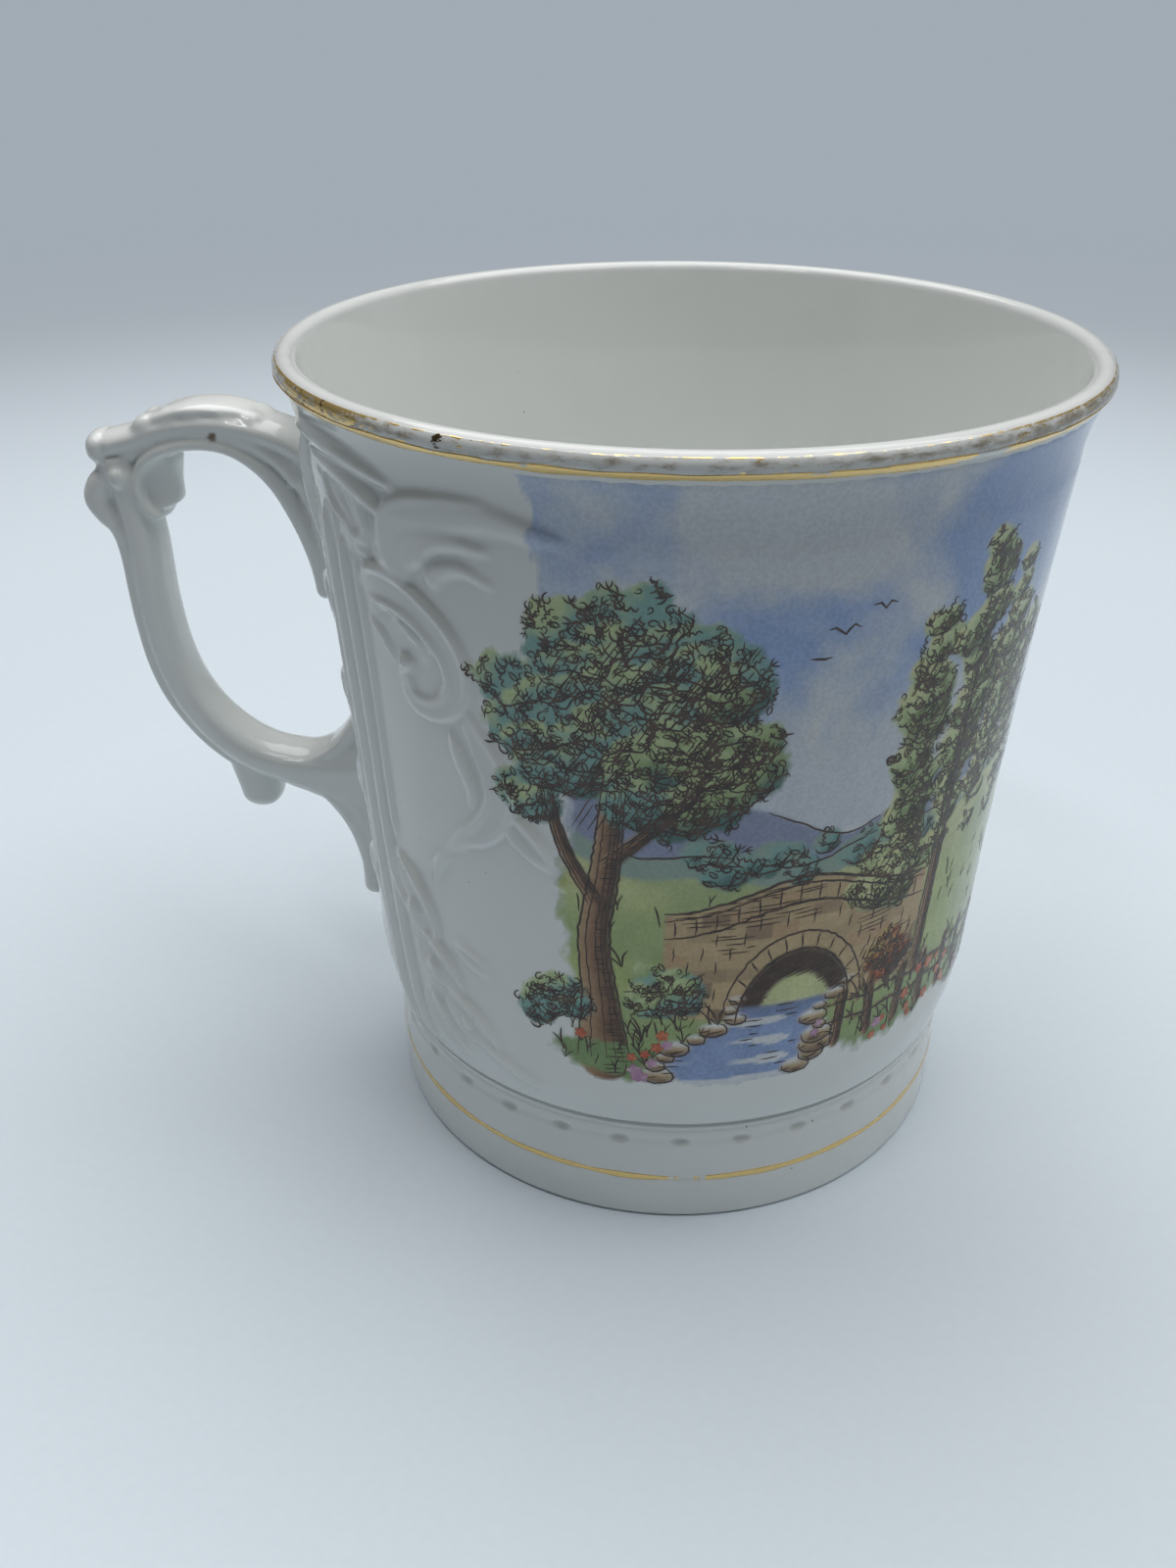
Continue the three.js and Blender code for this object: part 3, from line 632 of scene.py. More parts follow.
def fillet(corners, steps=5):
    """A profile whose corners, given as radius, height and rounding, are rounded off."""
    corners = np.asarray(corners, dtype=float)
    out = [corners[0, :2]]
    t = np.linspace(0, 1, steps)[:, None]
    for before, here, after in zip(corners, corners[1:], corners[2:]):
        to_last = before[:2] - here[:2]
        to_next = after[:2] - here[:2]
        start = here[:2] + to_last / np.linalg.norm(to_last) * here[2]
        end = here[:2] + to_next / np.linalg.norm(to_next) * here[2]
        out += list((1 - t) ** 2 * start + 2 * t * (1 - t) * here[:2] + t**2 * end)
    out.append(corners[-1, :2])
    return np.array(out)


print("0 degrees is at the handle, 90 at the front")

# %% Bands and seams
class Skin:
    """Points and faces of a turned piece, band by band."""

    def __init__(self):
        self.points = []
        self.faces = []
        self.pool_and_shade = []
        self.count = 0
        self.edge = None

    def add(self, points, pool_and_shade):
        first = self.count
        self.points.append(points.reshape(-1, 3))
        self.pool_and_shade.append(np.broadcast_to(pool_and_shade, points.shape[:-1]).reshape(-1))
        self.count += points.size // 3
        return np.arange(first, self.count).reshape(points.shape[:-1])

    def band(self, degrees, radius, z, pool_and_shade=0.0):
        """Adds one ring for each row of radius and z, and closes them to the last band."""
        radius, z = np.broadcast_arrays(radius, z)
        if radius.ndim == 1:
            radius, z = radius[:, None], z[:, None]
        radius, z, turn = np.broadcast_arrays(radius, z, degrees[None, :])
        index = self.add(ring(turn, radius, z), pool_and_shade)
        self.faces += ring_quads(index)
        if self.edge:
            self.stitch(*self.edge, index[0], degrees)
        self.edge = (index[-1], degrees)
        return index

    def stitch(self, low, low_degrees, high, high_degrees):
        """Closes the seam between two rings whose columns differ."""
        i = k = 0
        while i < len(low) or k < len(high):
            a, b = low[i % len(low)], high[k % len(high)]
            if next_column(low_degrees, i) <= next_column(high_degrees, k):
                self.faces.append([int(a), int(low[(i + 1) % len(low)]), int(b)])
                i += 1
            else:
                self.faces.append([int(a), int(high[(k + 1) % len(high)]), int(b)])
                k += 1

    def cap(self, index, z):
        """Closes a ring with a fan to a point on the axis."""
        centre = self.add(np.array([[AXIS_X, 0, z]]), 0.0)[0]
        self.faces += [[int(a), int(b), int(centre)] for a, b in zip(index, np.roll(index, -1))]

    def mesh(self, name):
        mesh = make_mesh(name, np.concatenate(self.points), self.faces)
        store(mesh, "pool_and_shade", np.concatenate(self.pool_and_shade))
        return mesh


print("bands are closed by walking round both rings")

# %% Columns and rows of the cup
EVEN_COLUMNS = np.arange(0, 360, 2.0)
RELIEF_FROM, RELIEF_TO = 18.0, 79.0
RELIEF_CELL = 0.32
PLAIN_STEP = 4.0
PIT_COUNT = 32
PIT_LENGTH, PIT_WIDTH, PIT_DEPTH, PIT_HEIGHT = 2.6, 1.3, 0.42, 11.3
PIT_FULLNESS = 0.8
GROOVE_WIDTH, GROOVE_DEPTH = 0.45, 0.10
COLLAR_LINES = [(13.0, 0.10), (13.85, 0.26)]
COLLAR_LINE_WIDTH = 0.22

relief_step = math.degrees(RELIEF_CELL / RELIEF_RADIUS)
near_side = np.arange(RELIEF_FROM, RELIEF_TO, relief_step)
far_side = 360 - near_side[::-1]
plain_parts = [(0, RELIEF_FROM - 1), (RELIEF_TO + 1, 360 - RELIEF_TO - 1),
               (360 - RELIEF_FROM + 1, 359)]
plain = [np.arange(first, last, PLAIN_STEP) for first, last in plain_parts]
WALL_COLUMNS = np.concatenate([plain[0], near_side, plain[1], far_side, plain[2]])
WALL_ROWS = np.arange(FOOT_HEIGHT, LIP_UNDERSIDE[1], RELIEF_CELL)
PIT_ANGLES = (np.arange(PIT_COUNT) + 0.5) * 360 / PIT_COUNT
pit_offsets = np.concatenate([np.linspace(-2.5, 2.5, 11), [4.0, 5.6]])
FOOT_COLUMNS = (PIT_ANGLES[:, None] + pit_offsets[None, :]).reshape(-1)
FOOT_ROWS = np.concatenate([np.linspace(1.0, 9.6, 8), np.linspace(10.0, 12.4, 13),
                            np.linspace(12.6, 14.1, 13)])
print(len(WALL_COLUMNS), "columns by", len(WALL_ROWS), "rows on the wall")

# %% Pits of the foot and relief of the wall
def foot_wall(degrees, z):
    """Depth of the pits and of the thin groove that joins them."""
    apart = (degrees[None, :, None] - PIT_ANGLES[None, None, :] + 180) % 360 - 180
    along = np.radians(np.abs(apart).min(axis=2)) * FOOT_RADIUS
    level = np.abs(z[:, None] - PIT_HEIGHT)
    inside = 1 - (along / (PIT_LENGTH / 2)) ** 2 - (level / (PIT_WIDTH / 2)) ** 2
    pits = PIT_DEPTH * np.clip(inside, 0, 1) ** PIT_FULLNESS
    groove = GROOVE_DEPTH * np.exp(-((level / GROOVE_WIDTH) ** 2))
    for height, depth in COLLAR_LINES:
        groove = groove + depth * np.exp(-(((z[:, None] - height) / COLLAR_LINE_WIDTH) ** 2))
    return np.maximum(pits, groove + 0 * along)


def blur(values, passes):
    """Softens a grid that is closed round the cup and open at its top and bottom."""
    for _ in range(passes):
        values = (np.roll(values, 1, 1) + 2 * values + np.roll(values, -1, 1)) / 4
        padded = np.pad(values, ((1, 1), (0, 0)), mode="edge")
        values = (padded[:-2] + 2 * padded[1:-1] + padded[2:]) / 4
    return values


GLAZE_PASSES = 1
RELIEF_GRID = blur(relief_height(*np.meshgrid(WALL_COLUMNS, WALL_ROWS)), GLAZE_PASSES)


def relief_at(degrees, z):
    """Height of the glazed relief at any point, read from the wall's own grid."""
    column = np.interp(degrees, WALL_COLUMNS, np.arange(len(WALL_COLUMNS)))
    row = np.interp(z, WALL_ROWS, np.arange(len(WALL_ROWS)))
    i = np.minimum(row.astype(int), len(WALL_ROWS) - 2)
    k = np.minimum(column.astype(int), len(WALL_COLUMNS) - 2)
    up, right = row - i, column - k
    low = RELIEF_GRID[i, k] * (1 - right) + RELIEF_GRID[i, k + 1] * right
    high = RELIEF_GRID[i + 1, k] * (1 - right) + RELIEF_GRID[i + 1, k + 1] * right
    return low * (1 - up) + high * up


print("the relief stands out up to", round(float(RELIEF_GRID.max()), 2), "mm")

# %% Turn the cup
FOOT_RING_WIDTH, FOOT_CHAMFER = 3.2, 0.6
FOOT_RECESS = 3.0
FLOOR_HEIGHT = FOOT_RECESS + 4.5
CENTRE_RADIUS = 4.0
INNER_CORNER = 7.0
INNER_FLARE_RADIUS, INNER_FLARE_HEIGHT, FLARE_GAP = 37.1, 79.3, 0.2
LIP_STEPS, INSIDE_STEPS = 25, 16
# How strongly hollows are darkened: partly pooled glaze, partly painted shade
POOL_AND_SHADE_SHARE, HOLLOW_BLUR, HOLLOW_DEPTH = 0.6, 8, 0.25


def cup_mesh():
    skin = Skin()
    ring_inside = FOOT_RADIUS - FOOT_CHAMFER - FOOT_RING_WIDTH
    base = fillet([(CENTRE_RADIUS, FOOT_RECESS, 0),
                   (ring_inside - FOOT_RECESS, FOOT_RECESS, 1.6),
                   (ring_inside, 0, 0.5), (FOOT_RADIUS, 0, 0.7), (FOOT_RADIUS, 0.95, 0)])
    first = skin.band(EVEN_COLUMNS, base[:, 0], base[:, 1])
    skin.cap(first[0][::-1], FOOT_RECESS)
    depth = foot_wall(FOOT_COLUMNS, FOOT_ROWS)
    # Painted shade, partly pooled glaze: the pits are darker the deeper they are
    pooled_and_shaded = POOL_AND_SHADE_SHARE * depth / PIT_DEPTH
    skin.band(FOOT_COLUMNS, FOOT_RADIUS - depth, FOOT_ROWS[:, None], pooled_and_shaded)
    # Painted shade, partly pooled glaze: the relief's hollows are darker
    hollow = np.clip(blur(RELIEF_GRID, HOLLOW_BLUR) - RELIEF_GRID, 0, HOLLOW_DEPTH) / HOLLOW_DEPTH
    radius = wall_radius(WALL_ROWS)[:, None] + RELIEF_GRID
    skin.band(WALL_COLUMNS, radius, WALL_ROWS[:, None], POOL_AND_SHADE_SHARE * hollow)
    lip = np.array(lip_point(np.linspace(LIP_UNDERSIDE_ANGLE, LIP_INSIDE_ANGLE, LIP_STEPS)))
    skin.band(EVEN_COLUMNS, lip[0], lip[1])
    inner_radius = float(wall_radius(FLOOR_HEIGHT + INNER_CORNER)) - WALL
    flare = math.hypot(lip[0, -1] - INNER_FLARE_RADIUS, lip[1, -1] - INNER_FLARE_HEIGHT)
    inside = fillet([(*lip_point(LIP_INSIDE_ANGLE), 0),
                     (INNER_FLARE_RADIUS, INNER_FLARE_HEIGHT, flare - FLARE_GAP),
                     (inner_radius, FLOOR_HEIGHT, INNER_CORNER),
                     (CENTRE_RADIUS, FLOOR_HEIGHT, 0)], INSIDE_STEPS)[1:]
    last = skin.band(EVEN_COLUMNS, inside[:, 0], inside[:, 1])
    skin.cap(last[-1], FLOOR_HEIGHT)
    return skin.mesh("cup")


cup = link_object("cup", cup_mesh())
cup.data.materials.append(porcelain)
seat_piece(cup, "cup_body")

# %% [markdown]
# ## The handle
#
# The handle is cast in a mould of its own: an arch with a leaf crest on it, a scroll that curls
# under the arch, a bar with a rib along its back, a knob, a spur and tails that run down the
# wall. Each of these is a roll along a line in the handle's plane. Rolls that only overlap
# would meet in hard seams, and real glaze rounds every crease. So they are joined by a voxel
# remesh, which makes one skin of them, and the skin is smoothed a little.

# %% Rolls along a line
ROLL_SIDES = 20
ROLL_STEPS, LONG_ROLL_STEPS, RIB_STEPS, KNOB_STEPS = 60, 90, 80, 24
SOFT_CORNERS = 0.82
END_SIZE = 0.01


def loft_faces(rows, sides):
    """Faces along a roll, and one over each of its ends."""
    index = np.arange(rows * sides).reshape(rows, sides)
    return ring_quads(index) + [index[0][::-1].tolist(), index[-1].tolist()]


def swell(values, t):
    """A size that runs evenly through a few values along a roll."""
    return np.interp(t, np.linspace(0, 1, len(values)), values)


def roll(line, thickness, width, round_start=0.0, round_end=0.0, steps=ROLL_STEPS, aside=0.0,
         soft_corners=SOFT_CORNERS):
    """A soft-cornered roll along a line of radius and height in the handle's plane."""
    path = smooth_line(line, steps)
    travel = np.gradient(path, axis=0)
    travel /= np.linalg.norm(travel, axis=1)[:, None]
    length = np.concatenate([[0], np.cumsum(np.linalg.norm(np.diff(path, axis=0), axis=1))])
    t = length / length[-1]
    full = np.ones(steps)
    for from_end, reach in ((length, round_start), (length[-1] - length, round_end)):
        if reach > 0:
            full *= np.sqrt(np.clip(1 - np.clip(1 - from_end / reach, 0, 1) ** 2, END_SIZE, 1))
    angle = 2 * np.pi * np.arange(ROLL_SIDES) / ROLL_SIDES
    up, side = [np.sign(value) * np.abs(value) ** soft_corners
                for value in (np.cos(angle), np.sin(angle))]
    up = (swell(thickness, t) * full / 2)[:, None] * up[None, :]
    side = (swell(width, t) * full / 2)[:, None] * side[None, :] + aside
    radius = path[:, 0, None] - travel[:, 1, None] * up
    z = path[:, 1, None] + travel[:, 0, None] * up
    points = np.stack([AXIS_X - radius, side, z], axis=-1).reshape(-1, 3)
    return points, loft_faces(steps, ROLL_SIDES)


def knob(radius, z, size, width, aside=0.0):
    """A round swelling, as a very short roll with both ends rounded."""
    line = [[radius - size, z], [radius, z], [radius + size, z]]
    return roll(line, [2 * size], [width], size, size, KNOB_STEPS, aside)


def join(parts):
    """Points and faces of several parts, as those of one."""
    points, faces, count = [], [], 0
    for part_points, part_faces in parts:
        points.append(part_points)
        faces += [[index + count for index in face] for face in part_faces]
        count += len(part_points)
    return np.concatenate(points), faces


print("rolls have", ROLL_SIDES, "sides")

# %% Lines of the handle, in radius from the cup's axis and height
ARCH = [[37.8, 72.5], [40.2, 76], [43.2, 78.1], [46.8, 79.2], [50.4, 79.7], [54, 79.5],
        [57.4, 78.7], [60.4, 77.6], [63.2, 76.8], [64.4, 76.5]]
CREST = [[46.2, 80.5], [48.6, 81], [51.6, 81.1], [54.6, 80.8], [57.4, 79.9], [60.2, 78.7]]
SCROLL = [[39.7, 59.4], [40.2, 63], [41.2, 66.6], [42.6, 70], [44.2, 73], [46.2, 75.3],
          [48.8, 77], [51.6, 77.6], [54.6, 77.4], [57.2, 76.6], [59.1, 75.2], [60, 73.3],
          [59.9, 71.3], [59.1, 69.8], [57.7, 68.8]]
BAR = [[62.6, 75.6], [61.8, 72], [61.3, 68.5], [60.95, 65], [60.9, 61], [60.75, 57],
       [60.1, 52], [58.8, 47.6], [56.7, 43.9], [53.8, 40.8], [50.3, 38.6], [46.4, 37.7],
       [42.4, 37.7], [37.4, 37.9]]
RIB = [[65.2, 71.4], [64.2, 68.6], [63.3, 66.4], [62.95, 63.4], [62.85, 60], [62.65, 56.3],
       [62, 51.3], [60.7, 47], [58.5, 43.2], [55.9, 40.1], [53, 37.9], [50.4, 36.5]]
ARCH_WEB = [[41.4, 73], [43.6, 75.8], [47, 77.9], [51, 78.7], [54.6, 78.5], [57.8, 77.6],
            [60.6, 76.4], [62.4, 75]]
UPPER_ROOT = [[47, 78.4], [42.6, 75.6], [40.2, 70.8], [39.1, 66], [38.4, 62], [38.1, 59.2]]
LOWER_ROOT = [[47, 38], [41.2, 35.6], [38, 31.6], [36.6, 27.6], [36.1, 23.6], [35.9, 19.6]]
SPUR = [[51.6, 38], [51.4, 35.6], [51.2, 33.4], [51.2, 31.2]]
TAIL = [[49.5, 38.2], [45.6, 36.6], [42.6, 35], [40.3, 32.4], [38.6, 29], [37.6, 25.4],
        [37.2, 22.4], [37.1, 19.4]]
GUSSET = [[47, 38.2], [43, 39.2], [40.4, 41], [38, 44], [36, 47.5]]
LOWER_FLARE = [[49.4, 38.4], [46.4, 37.3], [44, 36.9], [42, 36.8], [39.6, 36.8], [37.2, 36.8],
               [34.6, 36.8]]
KNOB = [[63.6, 73.8], [64.8, 72.3], [65.3, 70.9], [64.7, 69.3], [63.4, 67.2]]
DISH = [[56.6, 76.4], [57.8, 74.8], [58.3, 73], [58.2, 71.2], [58, 69.8]]
CREST_LOBES = 5
LOBE_OUT, LOBE_DOWN, LOBE_SIZE, LOBE_WIDTH, LOBE_ASIDE = 0.6, 1.45, 2.1, 3.6, 1.55


def handle_parts():
    """Rolls given by line, thicknesses, widths and how far each end is rounded, and knobs."""
    parts = [
        roll(ARCH, [3.6, 3.4, 3.3, 3.2, 3.2, 3.0, 3.0, 3.2],
             [8.4, 8.0, 7.8, 7.6, 7.4, 7.2, 6.8, 6], 0, 1.5, soft_corners=1.0),
        roll(ARCH_WEB, [2.6, 2.4, 2.4, 2.4, 2.4, 3], [7.4, 7.2, 7, 6.8, 6.2, 5.2], 1.0, 1.2),
        roll(CREST, [1.0, 1.6, 1.8, 1.6, 0.9], [4.8, 6.4, 6.8, 6.2, 4.2], 1.4, 2.0),
        roll(SCROLL, [3.6, 3.0, 2.5, 2.2, 2.0, 1.9, 1.7, 1.4],
             [5.6, 6.2, 6.8, 7.2, 7.5, 7.7, 7.6, 6.8], 1.4, 0.8, LONG_ROLL_STEPS),
        roll(DISH, [2.6, 4.2, 4.6, 4.4, 3.8], [5.6, 5.2, 4.8, 4.8, 5.4], 0.8, 0.4),
        roll(BAR, [4.2, 3.9, 3.8, 3.8, 3.8, 3.9, 4.2, 4.4, 4.6],
             [6.4, 6.8, 7.2, 7.2, 7.2, 7.2, 7.4, 7.6, 8], 0, 0, LONG_ROLL_STEPS),
        roll(RIB, [2.4, 1.9, 1.8, 1.8, 1.9, 2.0], [5.8], 1.0, 1.2, RIB_STEPS),
        roll(UPPER_ROOT, [2, 3, 3.2, 2.8], [6, 7, 6.6, 5.8], 2.0, 1.4),
        roll(LOWER_ROOT, [2, 3.4, 3.4, 3.2], [6, 7, 6.6, 6.2], 2.0, 1.4),
        roll(LOWER_FLARE, [4.2, 5.0, 6.2, 8.4, 11.6, 15, 17],
             [7.2, 7.2, 7.2, 7.3, 7.4, 7.6, 7.8], 1.0, 0),
        roll(SPUR, [6.6, 5.4, 4.8], [6.2, 6, 5.8], 0, 2.1),
        roll(TAIL, [1.6, 2.6, 3.4, 3.4, 3.6, 4.2], [6, 6.6, 6.6, 6.4, 6.4, 6.6], 1.5, 1.4),
        roll(GUSSET, [1.0, 1.8, 2.2, 2.2], [6, 6.6, 6.6, 6.6], 1.5, 0),
        roll(KNOB, [2.4, 3.6, 4.0, 3.2, 1.8], [5.6, 6, 6.2, 6.2, 5.8], 1.0, 1.0),
        knob(64.3, 76.4, 1.9, 6.2),
        knob(63.2, 73.8, 2.3, 5.8),
    ]
    for side in (-1, 1):
        parts.append(knob(62.2, 73.6, 1.25, 2.6, side * 2.7))
        for place in smooth_line(CREST, CREST_LOBES + 1)[:-1]:
            parts.append(knob(place[0] + LOBE_OUT, place[1] - LOBE_DOWN, LOBE_SIZE, LOBE_WIDTH,
                              side * LOBE_ASIDE))
    return parts


print(len(handle_parts()), "rolls and knobs make the handle")

# %% Join the rolls into one cast handle
HANDLE_VOXEL, HANDLE_PASSES = 0.24, 12
HANDLE_SINK = 0.35
SMOOTHING = 0.5


def cast(name, parts, voxel, passes):
    """One closed skin over overlapping parts, with its creases rounded."""
    piece = link_object(name, make_mesh(name, *join(parts)))
    remesh = piece.modifiers.new("one_skin", "REMESH")
    remesh.mode = "VOXEL"
    remesh.voxel_size = voxel * MM
    smooth = piece.modifiers.new("glaze", "SMOOTH")
    smooth.factor = SMOOTHING
    smooth.iterations = passes
    plain_mesh(piece)
    piece.data.shade_smooth()
    return piece


def read_points(mesh):
    """A mesh's points in millimetres."""
    points = np.empty(3 * len(mesh.vertices))
    mesh.vertices.foreach_get("co", points)
    return points.reshape(-1, 3) / MM


def write_points(mesh, points):
    mesh.vertices.foreach_set("co", (points * MM).reshape(-1))
    mesh.update()


def fit_to_wall(piece, shape):
    """Changes how far each point stands off the cup's wall."""
    points = read_points(piece.data)
    out = points[:, :2] - [AXIS_X, 0]
    reach = np.linalg.norm(out, axis=1)
    wall = wall_radius(points[:, 2])
    points[:, :2] = [AXIS_X, 0] + out / reach[:, None] * (wall + shape(reach - wall))[:, None]
    write_points(piece.data, points)


handle = cast("handle_cast", handle_parts(), HANDLE_VOXEL, HANDLE_PASSES)
fit_to_wall(handle, lambda off: np.maximum(off, -HANDLE_SINK))
handle.data.materials.append(porcelain)
seat_piece(handle, "handle")

# %% [markdown]
# ## The slip
#
# Liquid clay holds the handle on. A little of it squeezes out round each root and stays as a
# soft collar. It is made from fatter copies of the roots, flattened against the wall.

# %% Collars of slip at both roots
SLIP_OVERLAP, SLIP_HEIGHT = 1.5, 0.55
SLIP_VOXEL, SLIP_PASSES = 0.3, 2


def slip_collar(name, lines, node):
    """A collar from lines of the roots, each with thicknesses, widths and rounded ends."""
    parts = [roll(line, np.array(thickness) + SLIP_OVERLAP, np.array(width) + SLIP_OVERLAP, *ends)
             for line, thickness, width, ends in lines]
    piece = cast(name, parts, SLIP_VOXEL, SLIP_PASSES)
    fit_to_wall(piece, lambda off: np.clip(off, -HANDLE_SINK,
                                           SLIP_HEIGHT * np.tanh(np.maximum(off, 0))))
    piece.data.materials.append(porcelain)
    seat_piece(piece, node)


slip_collar("upper_slip", [(ARCH[:3], [3.2, 3.0], [9.2, 8.4], (0, 0)),
                           (UPPER_ROOT[1:], [3.2, 2.6], [6.6, 5.6], (0, 1.4)),
                           (SCROLL[:4], [2.6, 2.4], [5.4, 6], (1.2, 0))], "upper_handle_joint")
slip_collar("lower_slip", [(BAR[-2:], [4.6, 4.6], [8.6, 8.6], (0, 0)),
                           (LOWER_FLARE[3:], [8, 11.4, 14.6, 16], [7, 7.2, 7.4, 7.6], (0, 0)),
                           (LOWER_ROOT[1:], [3.2, 2.6], [6.6, 5.6], (0, 1.4)),
                           (TAIL[3:], [3, 3], [5.8, 5.8], (0, 1.2)),
                           (GUSSET[1:], [2, 2], [6, 6], (0, 0.8))], "lower_handle_joint")

# %% [markdown]
# ## Geometry Nodes in few lines
#
# The gold lines and the print repeat small things along a path or over a surface, which is
# what Geometry Nodes are for. `Graph` is a helper of the same kind as `Recipe`: it makes a
# node tree with named inputs. `grow` puts the tree on a piece, sets the inputs by their
# sockets' identifiers and keeps the result as a plain mesh.

# %% Helpers for Geometry Nodes
class Graph(NodeTree):
    """A Geometry Nodes tree with named inputs."""

    def __init__(self, name, **inputs):
        super().__init__(bpy.data.node_groups.new(name, "GeometryNodeTree"))
        sockets = self.tree.interface
        sockets.new_socket("Geometry", in_out="OUTPUT", socket_type="NodeSocketGeometry")
        for key, kind in {"Geometry": "Geometry", **inputs}.items():
            sockets.new_socket(key, in_out="INPUT", socket_type="NodeSocket" + kind)
        self.given = self.node("NodeGroupInput")
        self.result = self.tree.nodes.new("NodeGroupOutput").inputs["Geometry"]

    def geometry(self, kind, links):
        """The first output of a geometry node."""
        return self.node("GeometryNode" + kind, links)[0]

    def vector(self, **parts):
        return self.node("ShaderNodeCombineXYZ", parts)[0]

    def finish(self, geometry):
        whole = self.geometry("RealizeInstances", {"Geometry": geometry})
        links = {"Geometry": whole, "Material": self.given["Finish"]}
        self.feed(self.result, self.geometry("SetMaterial", links))


def grow(piece, graph, **values):
    """Runs a tree on a piece with the given inputs and keeps what it makes."""
    modifier = piece.modifiers.new(graph.tree.name, "NODES")
    modifier.node_group = graph.tree
    for item in graph.tree.interface.items_tree:
        if item.in_out == "INPUT" and item.name in values:
            modifier[item.identifier] = values[item.name]
    return plain_mesh(piece)


print("trees end with Realize Instances and Set Material")

# %% [markdown]
# ## Gold
#
# Gold on porcelain is a film of a few thousandths of a millimetre, brushed on a turning wheel
# and fired. Use wears it off: where fingers and lips touch the rim, only flecks, a brownish
# stain and a broken line are left. The material finds out where it is from the point's angle
# round the cup and round the lip's roll, so the wear sits where the mug is touched.

# %% A finish that knows where it is
GOLD = rgba(0.92, 0.67, 0.27)
GOLD_STAIN = rgba(0.34, 0.29, 0.20)
GOLD_DARK = rgba(0.07, 0.05, 0.025)
GOLD_SHEEN, GOLD_ROUGHER = 0.6, 0.16
BRUSH_STRETCH = 3
STAIN_SHARE, LINE_STAIN = 0.85, 0.12


class Gilding(Recipe):
    """A finish that knows its place round the cup and round the lip."""

    def __init__(self, name):
        super().__init__(name)
        place = self.node("ShaderNodeSeparateXYZ", {0: self.place()})
        across = self.math("SUBTRACT", AXIS_X * MM, place["X"])
        out = self.math("SUBTRACT", 0.0, place["Y"])
        radius = self.math("SQRT", self.total(self.math("MULTIPLY", across, across),
                                              self.math("MULTIPLY", out, out)))
        self.turn = self.degrees(out, across)
        self.roll = self.degrees(self.math("SUBTRACT", place["Z"], LIP_CENTRE[1] * MM),
                                 self.math("SUBTRACT", radius, LIP_CENTRE[0] * MM))
        along = self.math("MULTIPLY", self.turn, math.radians(LIP_RADIUS) / BRUSH_STRETCH)
        over = self.math("MULTIPLY", self.roll, math.radians(LIP_ROLL))
        self.brushed = self.node("ShaderNodeCombineXYZ", {"X": along, "Y": over})[0]

    def degrees(self, up, along):
        """The angle of a direction given by its two parts."""
        return self.math("MULTIPLY", self.math("ARCTAN2", up, along), math.degrees(1))

    def hill(self, value, centre, reach, height):
        """A soft rise of a given height about a value."""
        off = self.math("ABSOLUTE", self.math("SUBTRACT", value, centre))
        near = self.math("SUBTRACT", 1.0, self.step(off, 0.0, reach))
        return self.math("MULTIPLY", near, height)

    def rises(self, round_cup, round_lip):
        """Soft rises at angles round the cup and round the lip's roll."""
        return ([self.hill(self.turn, *rise) for rise in round_cup]
                + [self.hill(self.roll, *rise) for rise in round_lip])

    def total(self, *values):
        result = values[0]
        for value in values[1:]:
            result = self.math("ADD", result, value)
        return result

    def layers(self, gold, stain, dark):
        """Porcelain under a stain, what is left of the gold, and dark specks over both."""
        colour = self.mix(gold, self.mix(stain, PORCELAIN_WHITE, GOLD_STAIN), GOLD)
        self.set(base_color=self.mix(dark, colour, GOLD_DARK))
        self.set(metallic=self.math("MULTIPLY", gold, GOLD_SHEEN))
        rougher = self.math("MULTIPLY", gold, GOLD_ROUGHER)
        self.set(roughness=self.math("ADD", rougher, GLAZE_ROUGHNESS))
        return self.material


print("a gilded finish knows its angles round the cup and round the lip")

# %% Worn gold
# Where more gold, stain and dark specks are left: angle, reach and strength of soft rises,
# first round the cup and then round the lip's roll
GOLD_LEFT = ([(36.0, 24.0, 0.22), (50.0, 12.0, 0.08), (148.0, 34.0, 0.08)],
             [(44.0, 9.0, 0.15), (-20.0, 14.0, 0.06)])
STAIN_LEFT = ([(158.0, 52.0, 0.20), (38.0, 24.0, 0.26)], [(12.0, 34.0, 0.08)])
DARK_LEFT = ([(40.0, 18.0, 0.13)], [(-14.0, 12.0, 0.05)])
BLOTCH = ([(63.4, 1.6, 1.0)], [(24.0, 56.0, 1.0)])
BLOTCH_STRENGTH, GAP_STRENGTH = 0.30, 0.32


def rim_finish():
    rim = Gilding("worn_rim_gold")
    streaks = rim.noise(2.2, 5.0, 0.7, rim.brushed)
    patches = rim.math("MULTIPLY", rim.noise(0.35, 3.0, 0.6, rim.brushed), 0.4)
    left = rim.total(streaks, patches, *rim.rises(*GOLD_LEFT))
    film = rim.total(rim.noise(1.3, 4.0, 0.65, rim.brushed), *rim.rises(*STAIN_LEFT))
    stain = rim.math("MULTIPLY", rim.step(film, 0.50, 0.80), STAIN_SHARE)
    blotch = rim.math("MULTIPLY", *rim.rises(*BLOTCH))
    blotch = rim.math("MULTIPLY", blotch, BLOTCH_STRENGTH)
    specks = rim.noise(3.4, 3.0, 0.7, rim.brushed)
    dark = rim.total(specks, *rim.rises(*DARK_LEFT), blotch)
    return rim.layers(rim.step(left, 0.84, 0.90), stain, rim.step(dark, 0.70, 0.75))


